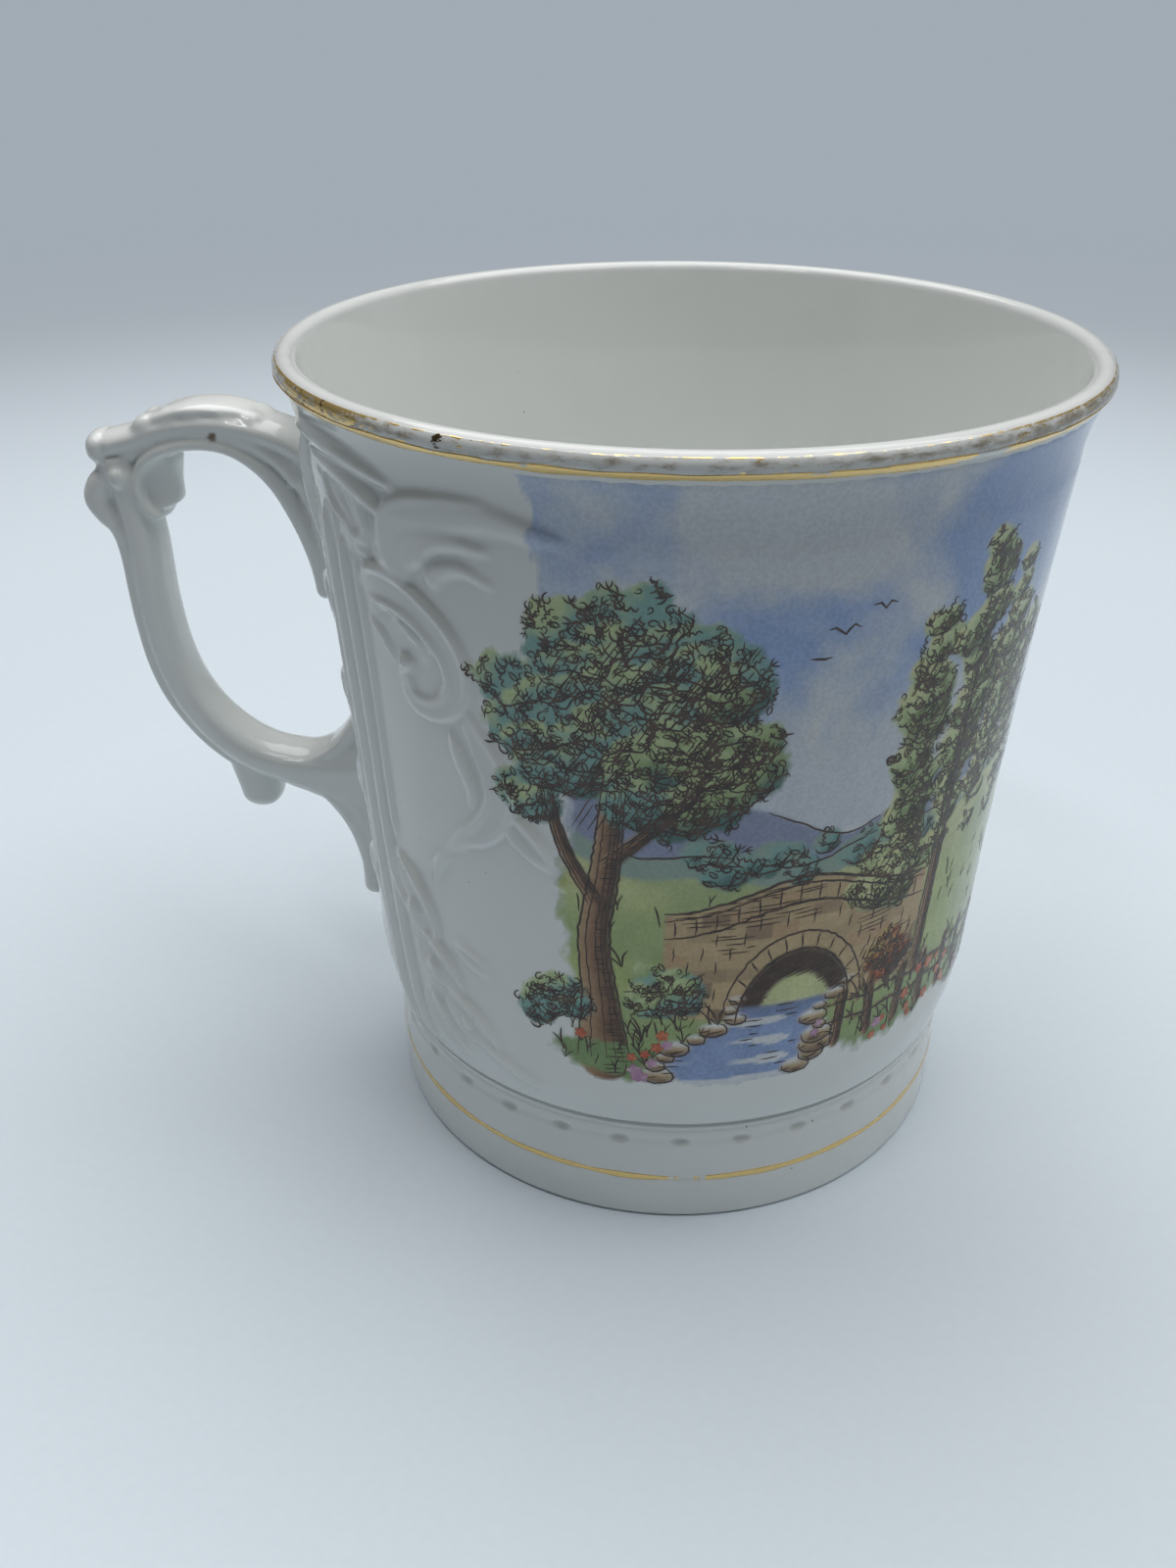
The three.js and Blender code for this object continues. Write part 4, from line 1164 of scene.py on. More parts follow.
def line_finish(name, wear, gap_angle, gap_width):
    """A gold line that is thin in places and nearly gone at one angle."""
    line = Gilding(name)
    gap = line.hill(line.turn, gap_angle, gap_width, GAP_STRENGTH)
    worn = line.total(line.noise(1.2, 4.0, 0.65, line.brushed), gap)
    gold = line.math("SUBTRACT", 1.0, line.step(worn, wear, wear + 0.08))
    return line.layers(gold, LINE_STAIN, 0.0)


rim_gold = rim_finish()
rim_line_gold = line_finish("rim_line_gold", 0.60, 128.0, 5.0)
foot_line_gold = line_finish("foot_line_gold", 0.68, 98.0, 7.5)
print("gold finishes:", rim_gold.name, rim_line_gold.name, foot_line_gold.name)

# %% Gilding over the lip
GILDING_ROLL = np.linspace(-22, 50, 19)
GOLD_LIFT = 0.02


def gilding_mesh():
    lift = np.full(len(GILDING_ROLL), GOLD_LIFT)
    lift[[0, -1]] = -GOLD_LIFT
    radius, z = lip_point(GILDING_ROLL, LIP_ROLL + lift)
    skin = Skin()
    skin.band(EVEN_COLUMNS, radius, z)
    return skin.mesh("lip_gilding")


gilding = link_object("lip_gilding", gilding_mesh())
gilding.data.materials.append(rim_gold)
seat_piece(gilding, "rim_gilding")

# %% [markdown]
# A brushed line is never quite even. The tree below starts with a circle, lets noise move it
# up and down and change its width, and sweeps a flat, rounded section along it.

# %% A tree for brushed rings
RING_STEPS, SECTION_STEPS = 420, 10
WOBBLE_SCALE, WIDTH_SCALE, WIDTH_CHANGE = 70.0, 190.0, 1.5


def brushed_ring_tree():
    graph = Graph("brushed_ring", Radius="Float", Height="Float", Width="Float",
                  Thickness="Float", Tilt="Float", Wobble="Float", Seed="Float",
                  Finish="Material")
    given = graph.given

    def uneven(scale, shift, amount):
        """Noise about 0 along the ring."""
        links = {"W": graph.math("ADD", given["Seed"], shift), "Scale": scale, "Detail": 2.0}
        noise = graph.node("ShaderNodeTexNoise", links, noise_dimensions="4D")[0]
        return graph.math("MULTIPLY", graph.math("SUBTRACT", noise, 0.5), amount)

    circle = {"Resolution": RING_STEPS, "Radius": given["Radius"]}
    circle = graph.geometry("CurvePrimitiveCircle", circle)
    rise = graph.math("ADD", given["Height"], uneven(WOBBLE_SCALE, 0.0, given["Wobble"]))
    offset = graph.vector(X=AXIS_X * MM, Z=rise)
    moved = graph.geometry("SetPosition", {"Geometry": circle, "Offset": offset})
    tilted = graph.geometry("SetCurveTilt", {"Curve": moved, "Tilt": given["Tilt"]})
    section = {"Resolution": SECTION_STEPS, "Radius": 0.5}
    section = graph.geometry("CurvePrimitiveCircle", section)
    size = graph.vector(X=given["Thickness"], Y=given["Width"], Z=1.0)
    flat = graph.geometry("Transform", {"Geometry": section, "Scale": size})
    fuller = graph.math("ADD", 1.0, uneven(WIDTH_SCALE, 7.0, WIDTH_CHANGE))
    sweep = {"Curve": tilted, "Profile Curve": flat, "Scale": fuller}
    graph.finish(graph.geometry("CurveToMesh", sweep))
    return graph


brushed_ring = brushed_ring_tree()
print("brushed_ring inputs:", [item.name for item in brushed_ring.tree.interface.items_tree])

# %% Brush the line under the lip and the line on the foot
GOLD_LINE_THICKNESS = 0.09
RIM_LINE_ROLL = -40.0
FOOT_LINE_HEIGHT = 6.0


def gold_line(name, node, place, width, tilt, wobble, seed, finish):
    line = link_object(name, bpy.data.meshes.new(name))
    grow(line, brushed_ring, Radius=place[0] * MM, Height=place[1] * MM, Width=width * MM,
         Thickness=GOLD_LINE_THICKNESS * MM, Tilt=math.radians(tilt), Wobble=wobble * MM,
         Seed=seed, Finish=finish)
    line.data.shade_smooth()
    seat_piece(line, node)


gold_line("brushed_rim_line", "rim_gold_line", lip_point(RIM_LINE_ROLL), 0.92, -RIM_LINE_ROLL,
          0.26, 3.0, rim_line_gold)
gold_line("brushed_foot_line", "foot_gold_line", (FOOT_RADIUS, FOOT_LINE_HEIGHT), 0.80, 0.0,
          0.6, 11.0, foot_line_gold)

# %% [markdown]
# ## The print, drawn flat
#
# A fired print is made on flat paper and slid onto the mug, so it is drawn flat here too. The
# canvas is measured in millimetres: across from the print's left edge, with a margin for leaves
# that reach past it, and up from the table. Its columns are finest where the camera looks.
# First come washes of colour, stored on the points of a fine grid, then pen lines and small
# strokes. The last step wraps everything round the cup. The picture is a brook with a stone
# bridge, trees, a meadow and hills.

# %% Canvas
PRINT_FROM, PRINT_TO = 66.5, 282.0
PRINT_LOW, PRINT_HIGH = 17.6, 87.5
PRINT_RADIUS = 38.1
DEGREE = math.radians(1) * PRINT_RADIUS
CANVAS_WIDTH = (PRINT_TO - PRINT_FROM) * DEGREE
CANVAS_MARGIN = 4.2
FINE_TO, FINE_COLUMN, PLAIN_COLUMN = 58, 0.28, 0.45
ROW = 0.32

across = np.concatenate([np.arange(-CANVAS_MARGIN, FINE_TO, FINE_COLUMN),
                         np.arange(FINE_TO, CANVAS_WIDTH, PLAIN_COLUMN)])
upward = np.arange(PRINT_LOW, PRINT_HIGH, ROW)
U, V = np.meshgrid(across, upward)


def wrap(points, lift):
    """Wraps flat points round the cup, a little off its wall."""
    degrees = PRINT_FROM + points[:, 0] / DEGREE
    radius = wall_radius(points[:, 1]) + relief_at(degrees, points[:, 1]) + lift + points[:, 2]
    return ring(degrees, radius, points[:, 1])


def lumps(size, seed):
    """Smooth noise between 0 and 1 over the canvas, with lumps of about one size."""
    grid = np.random.default_rng(seed).random((256, 512))
    x, y = U / size, V / size
    i, k = np.floor(x).astype(int), np.floor(y).astype(int)
    fx, fy = [f * f * (3 - 2 * f) for f in (x - i, y - k)]
    low = grid[k, i] * (1 - fx) + grid[k, i + 1] * fx
    high = grid[k + 1, i] * (1 - fx) + grid[k + 1, i + 1] * fx
    return low * (1 - fy) + high * fy


GRAIN = 0.5 * lumps(2.6, 1) + 0.32 * lumps(1.2, 2) + 0.18 * lumps(0.6, 3) - 0.5


def grain(seed):
    """The same grain, moved to another place for each seed."""
    return np.roll(GRAIN, (31 * seed, 47 * seed), (0, 1))


def soft(distance, edge=0.5):
    """1 inside, 0 outside, with a soft edge of some tenths of a millimetre."""
    return np.clip(distance / edge + 0.5, 0, 1)


def blob(u, v, ru, rv, ragged, seed):
    """A ragged oval."""
    reach = np.hypot((U - u) / ru, (V - v) / rv) + ragged * grain(seed)
    return soft((1 - reach) * min(ru, rv))


def ellipse(u, v, ru, rv, turn):
    """Points of an oval's outline at some angles."""
    return np.stack([u + ru * np.cos(turn), v + rv * np.sin(turn)], axis=1)


print("canvas of", U.size, "points,", round(CANVAS_WIDTH), "mm across")

# %% Washes of colour
def paint(red, green, blue):
    """A colour written as on a paint chart, made linear."""
    value = np.array([red, green, blue]) / 255
    return np.where(value <= 0.04045, value / 12.92, ((value + 0.055) / 1.055) ** 2.4)


SKY, SKY_PALE, WHITE = paint(162, 188, 232), paint(216, 224, 232), np.array(PORCELAIN_WHITE[:3])
HILL, HILL_NEAR = paint(148, 158, 186), paint(152, 174, 160)
MEADOW_FAR, MEADOW, MEADOW_LOW = paint(206, 212, 158), paint(176, 192, 126), paint(130, 156, 104)
TEAL, TEAL_DARK, LIME = paint(132, 176, 168), paint(74, 114, 110), paint(202, 218, 164)
OLIVE, OLIVE_DARK, STRAW = paint(158, 180, 126), paint(98, 120, 82), paint(222, 224, 168)
BARK, BARK_DARK, BARK_LIGHT = paint(138, 104, 78), paint(72, 50, 38), paint(190, 158, 122)
STONE, STONE_DARK, HAY = paint(200, 176, 136), paint(138, 114, 90), paint(206, 178, 112)
WATER, WATER_DARK, RUST = paint(150, 172, 214), paint(84, 98, 134), paint(184, 98, 60)
FIELDS = ("leafage", "grass", "poppies", "mallows")


class Picture:
    """Washes on the canvas and fields that tell where small strokes will grow."""

    def __init__(self):
        self.colour = np.zeros(U.shape + (3,)) + WHITE
        self.cover = np.zeros(U.shape)
        self.timber = np.zeros(U.shape)
        self.fields = {name: np.zeros(U.shape) for name in FIELDS}

    def lay(self, mask, colour, mottle, seed):
        """Lays a mottled wash of colour over what is covered so far."""
        tone = colour * (1 + mottle * grain(seed))[..., None]
        self.colour += mask[..., None] * (tone - self.colour)
        self.cover = np.maximum(self.cover, mask)

    def field(self, name, mask):
        self.fields[name] = np.maximum(self.fields[name], mask)

    def clear(self, name, mask):
        self.fields[name] *= 1 - mask


def blend(amount, *colours):
    """Runs through colours as the amount goes from 0 to 1."""
    stops = np.linspace(0, 1, len(colours))
    return np.stack([np.interp(amount, stops, [c[i] for c in colours]) for i in range(3)], axis=-1)


picture = Picture()
print("fields:", ", ".join(picture.fields))

# %% Pen lines
PEN_TIP, PEN_SWELL = 0.35, 0.6
HATCH_STEP, HATCH_SHAKE = 0.5, 0.14


class Pen:
    """Collects pen strokes: points joined by edges, and how broad the pen is at each point."""

    def __init__(self, seed):
        self.pick = np.random.default_rng(seed)
        self.points, self.edges, self.press, self.count = [], [], [], 0

    def line(self, points, width, shake=0.05, step=0.55):
        """A shaky stroke through some points, thin at its ends."""
        points = np.asarray(points, dtype=float)
        length = np.linalg.norm(np.diff(points, axis=0), axis=1).sum()
        path = smooth_line(points, max(4, int(length / step)))
        path = path + self.pick.normal(0, shake, path.shape)
        t = np.linspace(0, 1, len(path))
        self.points.append(np.column_stack([path, 0 * t]))
        self.press.append(width / 2 * (PEN_TIP + (1 - PEN_TIP) * np.sin(np.pi * t) ** PEN_SWELL))
        self.edges += [[self.count + i, self.count + i + 1] for i in range(len(path) - 1)]
        self.count += len(path)

    def hatch(self, mask, degrees, gap, width, breaks=0.10):
        """Parallel strokes over the covered part of the canvas."""
        turns = np.radians([degrees, degrees + 90])
        along, aside = [np.array([math.cos(turn), math.sin(turn)]) for turn in turns]
        inside = np.stack([U[mask > 0.5], V[mask > 0.5]], axis=1)
        if not len(inside):
            return
        s = np.arange((inside @ along).min(), (inside @ along).max(), HATCH_STEP)
        for level in np.arange((inside @ aside).min(), (inside @ aside).max(), gap):
            path = s[:, None] * along + (level + self.pick.normal(0, gap * HATCH_SHAKE)) * aside
            column = np.clip(np.searchsorted(across, path[:, 0]), 0, len(across) - 1)
            row = np.clip(((path[:, 1] - PRINT_LOW) / ROW).astype(int), 0, len(upward) - 1)
            hit = np.flatnonzero((mask[row, column] > 0.5) & (self.pick.random(len(s)) > breaks))
            for run in np.split(hit, np.flatnonzero(np.diff(hit) > 1) + 1):
                if len(run) > 2:
                    self.line(path[run[[0, len(run) // 2, -1]]], width, 0.03, 1.2)

    def mesh(self, name):
        mesh = make_mesh(name, np.concatenate(self.points), edges=self.edges)
        store(mesh, "pen", np.concatenate(self.press) * MM)
        return mesh


pen = Pen(5)
print("pen strokes are points joined by edges")

# %% Sky, hills and meadow
left_edge = U - 5.0 - 2.4 * grain(4) - 0.05 * (84 - V)
sky = soft(left_edge, 0.6) * soft(CANVAS_WIDTH - 4 - U + 5 * grain(5), 1.5) * soft(V - 52)
height = np.clip((V - 54) / 26 + 0.25 * grain(6), 0, 1)
picture.lay(sky, blend(height, SKY_PALE, SKY_PALE, SKY, SKY), 0.10, 7)
cloud_shape = lumps(12, 8) * 0.7 + 0.3 * lumps(5, 9) + 0.16 * grain(9) - 0.56
cloud = soft(cloud_shape, 0.22) * sky * soft(V - 60, 6)
picture.lay(0.8 * cloud, WHITE, 0.04, 10)
hill_line = 56 + 3.2 * np.sin(U * 0.13 + 0.5) + 1.4 * np.sin(U * 0.31)
near_line = 51.5 + 2.2 * np.sin(U * 0.09 + 2.2) + 0.8 * np.sin(U * 0.37)
land = (soft(U - 6 - 3 * grain(11) - 0.10 * np.abs(V - 44), 1.0)
        * soft(CANVAS_WIDTH - 7 - U + 6 * grain(12), 2))
picture.lay(land * soft(hill_line - V) * soft(V - 46), HILL, 0.2, 13)
picture.lay(land * soft(near_line - V) * soft(V - 42), HILL_NEAR, 0.25, 14)
ground_foot = V - 21.0 - 3.4 * lumps(4.5, 15) - 3 * grain(16)
ground = land * soft(near_line - 2.6 - V) * soft(ground_foot, 1.2)
depth = np.clip((49 - V) / 26, 0, 1)
picture.lay(ground, blend(depth, MEADOW_FAR, MEADOW, MEADOW, MEADOW_LOW), 0.35, 17)
picture.lay(0.6 * ground * soft(lumps(5, 18) - 0.62, 0.2), OLIVE, 0.3, 19)
picture.field("grass", ground * soft(31 - V + 6 * grain(20), 5) + 0.3 * ground * soft(44 - V, 2))
for top in (hill_line, near_line):
    ridge = np.array([[u, np.interp(u, across, top[0])]
                      for u in np.arange(11, CANVAS_WIDTH - 10, 3.0)])
    for first in range(0, len(ridge) - 4, 5):
        pen.line(ridge[first:first + 5], 0.2)
far_hill = land * soft(hill_line - V) * soft(V - near_line - 0.3)
pen.hatch(far_hill * soft(lumps(7, 21) - 0.5, 0.1), 62, 0.75, 0.14)
covered_share = float((picture.cover > 0.1).mean())
print("sky, hills and meadow cover", round(covered_share, 2), "of the canvas")

# %% Brook and bridge
BRIDGE_AT, BRIDGE_FROM, BRIDGE_TO = 31.0, 16.6, 46.5
DECK_LOW, DECK_RISE, DECK_SPREAD, PARAPET = 40.2, 4.0, 9, 3.0
ARCH_FOOT, ARCH_HALF, ARCH_RISE = 29.0, 6.6, 9.2
WATER_LINE = 31.5
COURSE, BLOCK = 1.75, 2.9


def deck_at(u):
    """Height of the bridge's deck."""
    return DECK_LOW + DECK_RISE * np.exp(-(((u - BRIDGE_AT) / DECK_SPREAD) ** 2))


def arch_at(scale, turn):
    """A point of the bridge's arch, or of a larger one round it."""
    return [BRIDGE_AT + ARCH_HALF * scale * math.cos(turn),
            ARCH_FOOT + ARCH_RISE * scale * math.sin(turn)]


bank_left = 25.5 - 0.95 * np.clip(33 - V, 0, 20) + 1.2 * np.sin(V * 0.7)
bank_right = 37.0 - 0.55 * np.clip(33 - V, 0, 20) + 1.0 * np.sin(V * 0.55 + 1)
brook = (soft(U - bank_left) * soft(bank_right - U) * soft(34.5 - V)
         * soft(V - 21.4 - 2 * grain(22)))
body = (soft(U - BRIDGE_FROM) * soft(BRIDGE_TO - U) * soft(deck_at(U) + PARAPET - V)
        * soft(V - 29.2 - 0.10 * np.abs(U - BRIDGE_AT)))
arch_reach = np.hypot((U - BRIDGE_AT) / ARCH_HALF, (V - ARCH_FOOT) / ARCH_RISE)
opening = soft((1 - arch_reach) * 6) * soft(V - 28.5)
under_arch = opening * soft(V - WATER_LINE)
masonry = body * (1 - opening)
row = np.floor(V / COURSE).astype(int)
block = np.floor(U / BLOCK + 0.5 * (row % 2)).astype(int)
stone_tone = np.random.default_rng(23).random((64, 256))[row, block]
picture.lay(brook, blend(np.clip((V - 22) / 12, 0, 1), WATER, WATER, WATER_DARK), 0.3, 24)
foam = soft(lumps(3.2, 25) + 0.4 * np.sin(V * 2.4) - 0.78, 0.1)
picture.lay(0.8 * brook * foam, WHITE, 0.05, 26)
picture.lay(masonry, blend(stone_tone, STONE_DARK, STONE, STONE, BARK_LIGHT), 0.25, 27)
picture.lay(under_arch * soft((arch_reach - 0.62) * 6), BARK_DARK, 0.2, 28)
picture.lay(under_arch * soft((0.66 - arch_reach) * 6), MEADOW_FAR, 0.3, 29)
for name in ("leafage", "grass"):
    picture.clear(name, np.maximum(brook, body))
print("brook and bridge are washed in")

# %% Stones of the bridge, in pen
pen.hatch(under_arch * soft((arch_reach - 0.6) * 6), 20, 0.42, 0.2, 0.05)
pen.hatch(masonry * soft(U - BRIDGE_AT - 7.5) * soft(37 - V), 68, 0.5, 0.16)
pen.hatch(masonry * soft(lumps(4, 30) - 0.55, 0.1), 4, 0.6, 0.15)
pen.hatch(brook * soft(lumps(2.2, 31) - 0.56, 0.1), 2, 0.8, 0.16)
for rise, width in ((3.0, 0.34), (2.2, 0.22), (0.0, 0.28)):
    pen.line([[u, deck_at(u) + rise] for u in np.linspace(16.6, 46.4, 16)], width)
for scale, width in ((1.0, 0.34), (1.24, 0.24)):
    pen.line([arch_at(scale, turn) for turn in np.linspace(0.06, math.pi - 0.06, 16)], width)
for turn in np.linspace(0.1, math.pi - 0.1, 13):
    pen.line([arch_at(scale, turn) for scale in (1.02, 1.22)], 0.22)
for level in np.arange(30.8, 46, COURSE):
    joints = (masonry * soft((arch_reach - 1.26) * 6)
              * soft(0.16 - np.abs(V - level), 0.1))
    pen.hatch(joints, 0, 0.5, 0.16, 0.12)
    for u in np.arange(17.5 + BLOCK / 2 * (round(level / COURSE) % 2), 46, BLOCK):
        far = math.hypot((u - BRIDGE_AT) / ARCH_HALF, (level - ARCH_FOOT) / ARCH_RISE)
        if far > 1.34 and level + COURSE < deck_at(u) + 0.2:
            pen.line([[u, level], [u + 0.1, level + 1.7]], 0.16)
for u in np.arange(17.6, 46, 2.1):
    pen.line([[u, deck_at(u) + 0.1], [u, deck_at(u) + 2.1]], 0.2)
print(pen.count, "pen points after the bridge")

# %% Crowns and trunks
def crown(u, v, ru, rv, count, size, seed, shades, leaves=1.0):
    """A crown of leaf clusters, dark below and light where the sun comes from."""
    pick = np.random.default_rng(seed)
    turn, reach = pick.uniform(0, 2 * np.pi, count), np.sqrt(pick.random(count))
    clusters = np.stack([u + ru * reach * np.cos(turn), v + rv * reach * np.sin(turn),
                         size * pick.uniform(0.7, 1.3, count)], axis=1)
    for i, (cu, cv, cr) in enumerate(clusters[np.argsort(-clusters[:, 1])]):
        mask = blob(cu, cv, 1.2 * cr, 0.95 * cr, 0.75, seed + i)
        light = 0.5 + (0.8 * (V - cv) - 0.5 * (U - cu)) / (1.7 * cr) + 0.7 * grain(seed + i + 3)
        picture.lay(mask, blend(np.clip(light, 0, 1), *shades), 0.2, seed + i)
        picture.field("leafage", leaves * mask)
        picture.clear("grass", mask)
        pen.hatch(mask * soft(0.30 - light, 0.1), 58, 0.55, 0.14, 0.2)
        turn = np.linspace(-2.7, 0.5, 22)
        rim = cr * (0.92 + 0.10 * np.sin(6 * turn + i))
        pen.line(ellipse(cu, cv, 1.15 * rim, 0.9 * rim, turn), 0.2, 0.09)


BOUGH_STEPS = 40


def trunk(points, widths, seed):
    """A trunk or bough: a wash with a light and a dark side, and pen lines along it."""
    path = smooth_line(points, BOUGH_STEPS)
    half = swell(widths, np.linspace(0, 1, BOUGH_STEPS))
    apart = np.hypot(U[..., None] - path[:, 0], V[..., None] - path[:, 1])
    nearest = (apart - half).argmin(axis=2)
    inside = np.take_along_axis(half - apart, nearest[..., None], 2)[..., 0]
    side = np.clip(0.5 + (U - path[nearest, 0]) / (2 * half[nearest]) + 0.5 * grain(seed), 0, 1)
    mask = soft(inside, 0.4)
    picture.lay(mask, blend(side, BARK_LIGHT, BARK, BARK_DARK), 0.35, seed)
    picture.timber = np.maximum(picture.timber, mask)
    for name in picture.fields:
        picture.clear(name, mask)
    for share in (-1, -0.5, 0.1, 0.45, 0.7, 1):
        beside = path[::3] + np.stack([share * half[::3], 0 * half[::3]], axis=1)
        pen.line(beside, 0.24 if abs(share) == 1 else 0.16)
    pen.hatch(mask * soft(side - 0.55, 0.1), 10, 0.55, 0.15)


print("a crown is made of leaf clusters, a trunk of a wash and pen lines")

# %% Plant the trees
FOREST = (TEAL_DARK, TEAL, TEAL, LIME)
BRIGHT = (OLIVE_DARK, OLIVE, LIME, STRAW)
FAR_WOOD = (TEAL_DARK, TEAL, HILL_NEAR)
for u in np.concatenate([np.arange(20, 46, 2.6), np.arange(62, 128, 3.1)]):
    crown(u, 49.5 + 1.2 * math.sin(u), 1.6, 0.8, 2, 1.5, int(40 + u), FAR_WOOD, 0.4)
trunk([[10.4, 24], [10.0, 32], [9.4, 40], [10.6, 48], [11.6, 58]], [3.0, 1.9, 1.6, 1.4, 1.1], 51)
trunk([[9.8, 44], [6.6, 50], [4.8, 57]], [0.9, 0.7, 0.5], 52)
trunk([[10.8, 49], [15.4, 53.5], [19.6, 58]], [0.9, 0.7, 0.5], 53)
tuft = blob(10.2, 24.4, 5.6, 2.4, 0.9, 68)
picture.lay(tuft, MEADOW_LOW, 0.4, 69)
picture.field("grass", tuft)
crown(12, 65.5, 10.5, 11, 42, 3.3, 54, FOREST)
crown(20.5, 61, 6.0, 6.0, 12, 2.7, 55, (TEAL_DARK, OLIVE, LIME))
crown(4.2, 58, 2.8, 4.5, 8, 1.9, 56, FOREST)
trunk([[47.4, 30], [47.7, 46], [47.6, 66]], [0.9, 0.7, 0.4], 57)
for u, top in ((41.6, 74), (47.6, 81), (53.4, 75), (59.2, 70)):
    for v in np.arange(47, top, 2.3):
        spread = 2.9 * math.sin(math.pi * min(1, (top - v + 2.5) / (top - 42))) ** 0.7
        crown(u, v, 0.6 * spread, 1.0, 2, 0.62 * spread + 0.4, int(60 + u + v), BRIGHT)
crown(41, 45.5, 4.4, 3.4, 12, 2.1, 61, BRIGHT)
crown(42.6, 35.0, 2.8, 3.0, 9, 1.6, 62, (BARK_DARK, RUST, RUST, HAY))
crown(5.2, 30.5, 2.6, 3.6, 9, 1.9, 63, FOREST)
crown(16.4, 33.0, 3.0, 3.0, 9, 1.8, 64, (TEAL_DARK, TEAL, OLIVE, LIME))
trunk([[106, 30], [107, 42], [106, 56]], [2.2, 1.5, 1.0], 65)
crown(106, 62, 11, 9, 32, 3.3, 66, BRIGHT)
crown(124, 40, 5, 6, 12, 2.4, 67, FOREST)
print(pen.count, "pen points after the trees")

# %% Fence, haystacks, stones, flowers and birds
BIRDS = [(31, 73, 1.5), (34.5, 75, 1.2), (29.2, 70.5, 1.0), (84, 70, 1.4), (88, 72, 1.1)]
WINGS = np.array([[-1, 0.4], [-0.4, 0.5], [0, 0], [0.5, 0.6], [1, 0.4]])


def fence(first, last, level):
    for u in np.arange(first, last, 4.4):
        lean = 0.4 * math.sin(u * 2.1)
        trunk([[u, level - 3.4], [u + lean, level + 3.6]], [0.62, 0.5], int(70 + u))
    for rise in (-0.4, 2.0):
        rail = [[u, level + rise + 0.35 * math.sin(u * 0.9)]
                for u in np.arange(first - 1.5, last, 2.2)]
        trunk(rail, [0.36, 0.36], 90 + int(rise))


def haystack(u, v, size):
    mask = soft(size - np.abs(U - u) * (1.1 + 0.05 * (V - v)) - 0.55 * np.clip(V - v, 0, 20)
                + 2 * grain(90), 0.6)
    mask = mask * soft(V - v + 0.8 * grain(91))
    picture.lay(mask, blend(np.clip(0.5 + (U - u) / (2 * size), 0, 1), STRAW, HAY, BARK), 0.4, 92)
    picture.clear("grass", mask)
    pen.hatch(mask, 78, 0.7, 0.18)


fence(36.5, 76.0, 27.5)
haystack(84, 33, 5.5)
haystack(95, 36, 4.0)
pick = np.random.default_rng(93)
for share in np.linspace(0, 1, 9):
    for bank in (bank_left, bank_right):
        v = 22.5 + 10 * share
        u = float(np.interp(v, upward, bank[:, 0])) + pick.uniform(-0.8, 0.8)
        size = pick.uniform(0.7, 1.5) * (1.25 - 0.6 * share)
        stone = blob(u, v, 1.3 * size, 0.8 * size, 0.3, int(94 + 20 * share))
        light = np.clip(0.5 + (V - v) / size, 0, 1)
        picture.lay(stone, blend(light, STONE_DARK, STONE, WHITE), 0.2, 95)
        picture.clear("grass", stone)
        outline = ellipse(u, v, 1.3 * size, 0.8 * size, np.linspace(-3.4, 1.2, 12))
        pen.line(outline, 0.22)
        pen.hatch(stone * soft(v - 0.1 - V, 0.1), 15, 0.5, 0.15)
taken = np.maximum.reduce([brook, body, picture.timber, picture.fields["leafage"]])
open_ground = ground * np.clip(1 - taken, 0, 1)
picture.field("poppies", open_ground * soft(30 - V) * soft(lumps(7, 96) - 0.45, 0.1))
picture.field("mallows", open_ground * soft(28 - V) * soft(0.5 - lumps(7, 96), 0.1))
for u, v, size in BIRDS:
    pen.line([u, v] + size * WINGS, 0.24)
print(pen.count, "pen points in", len(pen.points), "strokes")

# %% [markdown]
# ### From canvas to mug
#
# The wash is the part of the grid that carries colour, so its outline is the picture's own
# ragged outline. Its rim is pressed just under the glaze, which closes the edge. Three kinds
# of finish are enough: the wash reads its colour from the points, the ink is brown and a
# little uneven, and the flowers are dabs of brighter enamel.

# %% Finishes of the print
GRIT_SCALE, COAT_SCALE = 2600.0, 800.0
WASH_ROUGHNESS, ENAMEL_ROUGHNESS = 0.12, 0.16


def enamel_wash():
    wash = Recipe("enamel_wash")
    grit = wash.step(wash.noise(GRIT_SCALE, 2.0), 0.35, 0.65)
    colour = wash.attribute("paint", "Color")
    links = {"Color": colour, "Value": 0.90, "Saturation": 1.1}
    darker = wash.node("ShaderNodeHueSaturation", links)[0]
    wash.set(base_color=wash.mix(grit, colour, darker), roughness=WASH_ROUGHNESS)
    wash.bump(wash.noise(GLAZE_WAVES, 2.0), GLAZE_WAVE_DEPTH)
    return wash.material


def enamel(name, full, thin):
    """An opaque enamel whose coat is thicker in some places than in others."""
    dab = Recipe(name)
    coat = dab.step(dab.noise(COAT_SCALE, 3.0), 0.35, 0.70)
    dab.set(base_color=dab.mix(coat, full, thin), roughness=ENAMEL_ROUGHNESS)
    return dab.material


wash_finish = enamel_wash()
ink = enamel("brown_ink", rgba(0.030, 0.014, 0.009), rgba(0.10, 0.055, 0.035))
poppy_red = enamel("poppy_enamel", rgba(0.50, 0.085, 0.03), rgba(0.66, 0.22, 0.10))
mallow_pink = enamel("mallow_enamel", rgba(0.42, 0.20, 0.36), rgba(0.66, 0.45, 0.55))
print("enamels:", wash_finish.name, ink.name, poppy_red.name, mallow_pink.name)

# %% The wash
WASH_LIFT, INK_LIFT = 0.03, 0.05
STROKE_LIFT, PETAL_LIFT = INK_LIFT + 0.01, INK_LIFT + 0.02
THINNEST_WASH = 0.03


